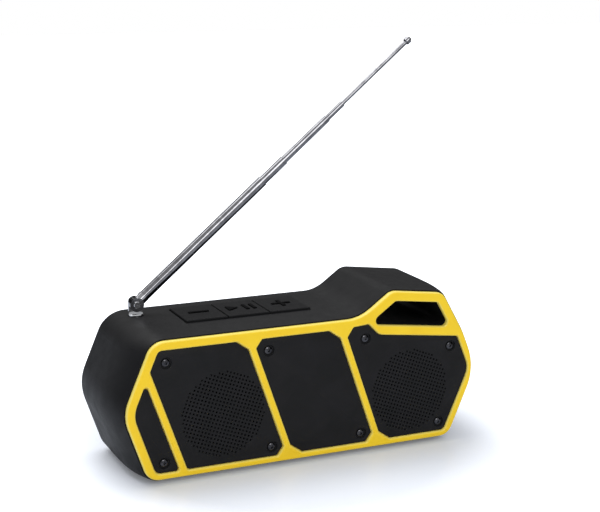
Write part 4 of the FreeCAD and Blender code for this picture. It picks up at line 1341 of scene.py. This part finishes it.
@dataclass
class SolarPanel(SubAssembly):
    """Solar cells with printed contact lines under a clear window."""

    columns: int = 6
    rows: int = 2
    border: float = 3.5 * MM
    gap: float = 1.2 * MM
    cell_thickness: float = 0.2 * MM
    print_thickness: float = 0.04 * MM
    finger_thickness: float = 0.032 * MM
    finger_pitch: float = 1.9 * MM
    finger_width: float = 0.1 * MM
    busbar_width: float = 0.9 * MM

    def backing(self, front: float, back: float) -> None:
        """Replaces the board with a thinner one behind the cells.

        Args:
            front: Depth of its front.
            back: Depth of its back.
        """
        outline = front_loops(self.frame["nodes"]["solar_board"], front)[0]
        mesh = bmesh.new()
        walls = [ring(mesh, outline, front), ring(mesh, outline, back)]
        bridge(mesh, walls, flip=True)
        cap(mesh, walls[0], [], forward=True)
        cap(mesh, walls[1], [], forward=False)
        backing = new_piece("solar_backing", mesh, CELL_GROUND)
        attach(backing, "chassis")
        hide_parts("solar_board")

    def build(self) -> None:
        """Makes the backing, the cells, their busbars and fingers, and dresses the window."""
        low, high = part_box("solar_board")
        centre = (low + high) / 2
        pitch_x = (high.x - low.x - 2 * self.border + self.gap) / self.columns
        pitch_z = (high.z - low.z - 2 * self.border + self.gap) / self.rows
        cell_x, cell_z = pitch_x - self.gap, pitch_z - self.gap
        face = high.y - self.print_thickness
        self.backing(low.y, face - self.cell_thickness)
        repeat = strip_tree()
        counts, pitches = (self.columns, self.rows), (pitch_x, pitch_z)
        cell = (cell_x, self.cell_thickness, cell_z)
        place = Vector((centre.x, face - self.cell_thickness / 2, centre.z))
        self.lay(repeat, "solar_cell_set", CELL_BLUE, counts, pitches, cell, place)
        busbar = (self.busbar_width, self.print_thickness, cell_z)
        place = Vector((centre.x, face + self.print_thickness / 2, centre.z))
        self.lay(repeat, "busbars", SILVER_PRINT, counts, pitches, busbar, place)
        counts, pitches = (self.columns, int(cell_z / self.finger_pitch)), (pitch_x, self.finger_pitch)
        finger = (cell_x, self.finger_thickness, self.finger_width)
        for row in range(self.rows):
            z = centre.z + (row - (self.rows - 1) / 2) * pitch_z
            place = Vector((centre.x, face + self.finger_thickness / 2, z))
            self.lay(repeat, f"contact_fingers_{row + 1}", SILVER_PRINT, counts, pitches, finger, place)
        self.dress(CLEAR, "solar_window")

    def lay(
        self,
        repeat: RepeatTree,
        name: str,
        finish: Finish,
        counts: tuple[int, int],
        pitches: tuple[float, float],
        block: Triple,
        centre: Vector,
    ) -> None:
        """Lays a grid of equal blocks as one piece.

        Args:
            repeat: The strip tree.
            name: Name of the piece.
            finish: Its finish.
            counts: Columns and rows.
            pitches: Pitch across and up.
            block: Size of a block.
            centre: Middle of the grid.
        """
        piece = new_piece(name, bmesh.new(), finish)
        repeat.run(piece, finish, {
            "Columns": counts[0],
            "Rows": counts[1],
            "Column Pitch": pitches[0],
            "Row Pitch": pitches[1],
            "Block": block,
            "Centre": centre,
        })
        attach(piece, "chassis")
        self.report(piece)


@dataclass
class Housing(SubAssembly):
    """Finish of the shell and of what sits in and under it."""

    def build(self) -> None:
        """Dresses the shell, feet, door, switch and sockets."""
        self.dress(RUBBERY, "rear_shell", "socket_door")
        self.dress(FOOT_RUBBER, "rubber_feet")
        self.dress(KEY_RUBBER, "power_switch_knob")
        self.dress(SWITCH_BLACK, "power_switch_body", "aux_jack", "key_switches")
        self.dress(SOCKET_PLATE, "charge_socket", "card_slot", "usb_a_socket")


@dataclass
class Insides(SubAssembly):
    """Finish of the loudspeakers, boards and battery."""

    def build(self) -> None:
        """Dresses every inner node."""
        for side in ("left", "right"):
            self.dress(BLACK_STEEL, side + "_speaker_basket")
            self.dress(FOOT_RUBBER, side + "_speaker_surround")
            self.dress(PAPER, side + "_speaker_cone")
            self.dress(COPPER, side + "_voice_coil")
            self.dress(ZINC, side + "_speaker_top_plate", side + "_speaker_yoke")
            self.dress(FERRITE, side + "_speaker_magnet")
        self.dress(INNER_BLACK, "front_baffle", "battery_tray")
        self.dress(ZINC, "board_screws", "key_board_screws", "speaker_screws")
        self.dress(LACQUER, "main_board", "key_board")
        self.dress(CELL_WRAP, "battery_cell")
        self.dress(NICKEL, "battery_contacts")


# Studio


@dataclass(frozen=True)
class Card:
    """An upright black card, turned towards the object, that only reflections show."""

    name: str
    place: Triple
    length: float
    height: float

    def hang(self) -> None:
        """Adds the card to the stage."""
        heading = Vector((-self.place[0], -self.place[1], 0)).normalized()
        side = Vector((-heading.y, heading.x, 0)) * (self.length / 2)
        rise = Vector((0, 0, self.height / 2))
        mesh = bmesh.new()
        steps = (-side - rise, side - rise, side + rise, rise - side)
        mesh.faces.new([mesh.verts.new(Vector(self.place) + step) for step in steps])
        card = new_piece(self.name, mesh, FOOT_RUBBER)
        card.visible_camera = False
        card.visible_diffuse = False
        card.visible_shadow = False
        card.visible_transmission = False


@dataclass(frozen=True)
class Lamp:
    """A square soft lamp, with its side in metres and its power in watts."""

    name: str
    place: Triple
    aim: Triple
    side: float
    power: float

    def hang(self) -> None:
        """Adds the lamp to the scene."""
        data = bpy.data.lights.new(self.name, "AREA")
        data.shape = "SQUARE"
        data.size = self.side
        data.energy = self.power
        lamp = bpy.data.objects.new(self.name, data)
        lamp.location = self.place
        lamp.rotation_euler = (Vector(self.aim) - Vector(self.place)).to_track_quat("-Z", "Y").to_euler()
        bpy.context.scene.collection.objects.link(lamp)


CARDS = (
    Card("left_card", place=(-1.5, 0.5, 0.5), length=1.8, height=1.2),
    Card("right_card", place=(1.5, -0.1, 0.7), length=3.0, height=1.6),
    Card("front_card", place=(-1.0, -1.9, 0.9), length=0.9, height=0.7),
    Card("back_card", place=(0.2, 1.6, 0.42), length=2.6, height=0.8),
)
LAMPS = (
    Lamp("top_softbox", place=(-0.3, 0.5, 1.6), aim=(0.0, 0.0, 0.08), side=1.2, power=20.0),
    Lamp("front_softbox", place=(-0.15, -1.7, 1.1), aim=(0.0, 0.0, 0.06), side=0.9, power=14.0),
)


@dataclass
class Studio:
    """Pale floor, soft lights and the camera at the photograph's angle."""

    camera_place: Vector = field(default_factory=lambda: Vector((-351.6, -798.0, 327.4)) * MM)
    camera_target: Vector = field(default_factory=lambda: Vector((-6.8, -40.0, 137.4)) * MM)
    camera_roll: float = math.radians(0.43)
    lens: float = 82.7
    sensor: float = 36.0
    clip_start: float = 0.02
    clip_end: float = 60.0
    sky: Screen = (232, 238, 250)
    sky_strength: float = 0.5
    floor_size: float = 8.0
    floor_gap: float = 0.1 * MM

    def camera(self) -> None:
        """Makes the camera."""
        data = bpy.data.cameras.new("photo_camera")
        data.lens = self.lens
        data.sensor_width = self.sensor
        data.sensor_fit = "HORIZONTAL"
        data.clip_start = self.clip_start
        data.clip_end = self.clip_end
        camera = bpy.data.objects.new("photo_camera", data)
        bpy.context.scene.collection.objects.link(camera)
        look = (self.camera_target - self.camera_place).to_track_quat("-Z", "Y")
        camera.rotation_euler = (look @ Euler((0, 0, self.camera_roll)).to_quaternion()).to_euler()
        camera.location = self.camera_place
        bpy.context.scene.camera = camera

    def world(self) -> None:
        """Even studio light, which the camera and gloss see as white."""
        world = bpy.data.worlds.new("studio")
        world.use_nodes = True
        nodes = NodeTree(world.node_tree)
        path = nodes.add("ShaderNodeLightPath").outputs
        bent = nodes.math("MAXIMUM", path["Is Glossy Ray"], path["Is Transmission Ray"])
        light = nodes.add("ShaderNodeBackground", {"Color": srgb(*self.sky), "Strength": self.sky_strength})
        seen = nodes.add("ShaderNodeBackground", {"Color": WHITE, "Strength": 1.0})
        mix = nodes.add("ShaderNodeMixShader", {
            0: nodes.math("MAXIMUM", path["Is Camera Ray"], bent),
            1: light.outputs["Background"],
            2: seen.outputs["Background"],
        })
        nodes.add("ShaderNodeOutputWorld", {"Surface": mix.outputs["Shader"]})
        bpy.context.scene.world = world

    def floor(self) -> None:
        """Adds the floor, which keeps the object's shadow."""
        half = self.floor_size / 2
        mesh = bmesh.new()
        mesh.faces.new([mesh.verts.new((x, y, -self.floor_gap)) for x, y in oblong(0.0, half, half)])
        floor = new_piece("floor", mesh, FLOOR)

    def build(self) -> None:
        """Sets the stage."""
        self.camera()
        self.world()
        self.floor()
        for item in CARDS + LAMPS:
            item.hang()
        bpy.context.scene.view_settings.view_transform = "Standard"
        LOG.info("the stage is set")


def corners(box: tuple[Vector, Vector]) -> list[list[float]]:
    """A box's two corners as plain lists."""
    return [list(box[0]), list(box[1])]


def main() -> None:
    """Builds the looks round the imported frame."""
    logging.basicConfig(level=logging.INFO, format="%(message)s")
    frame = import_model()
    panels = FrontPanels(frame)
    panels.build()
    PanelScrews(panels.seats).build()
    TopKeys(frame).build()
    TelescopicAntenna(frame).build()
    SolarPanel(frame).build()
    Housing(frame).build()
    Insides(frame).build()
    Studio().build()


if __name__ == "__main__":
    main()
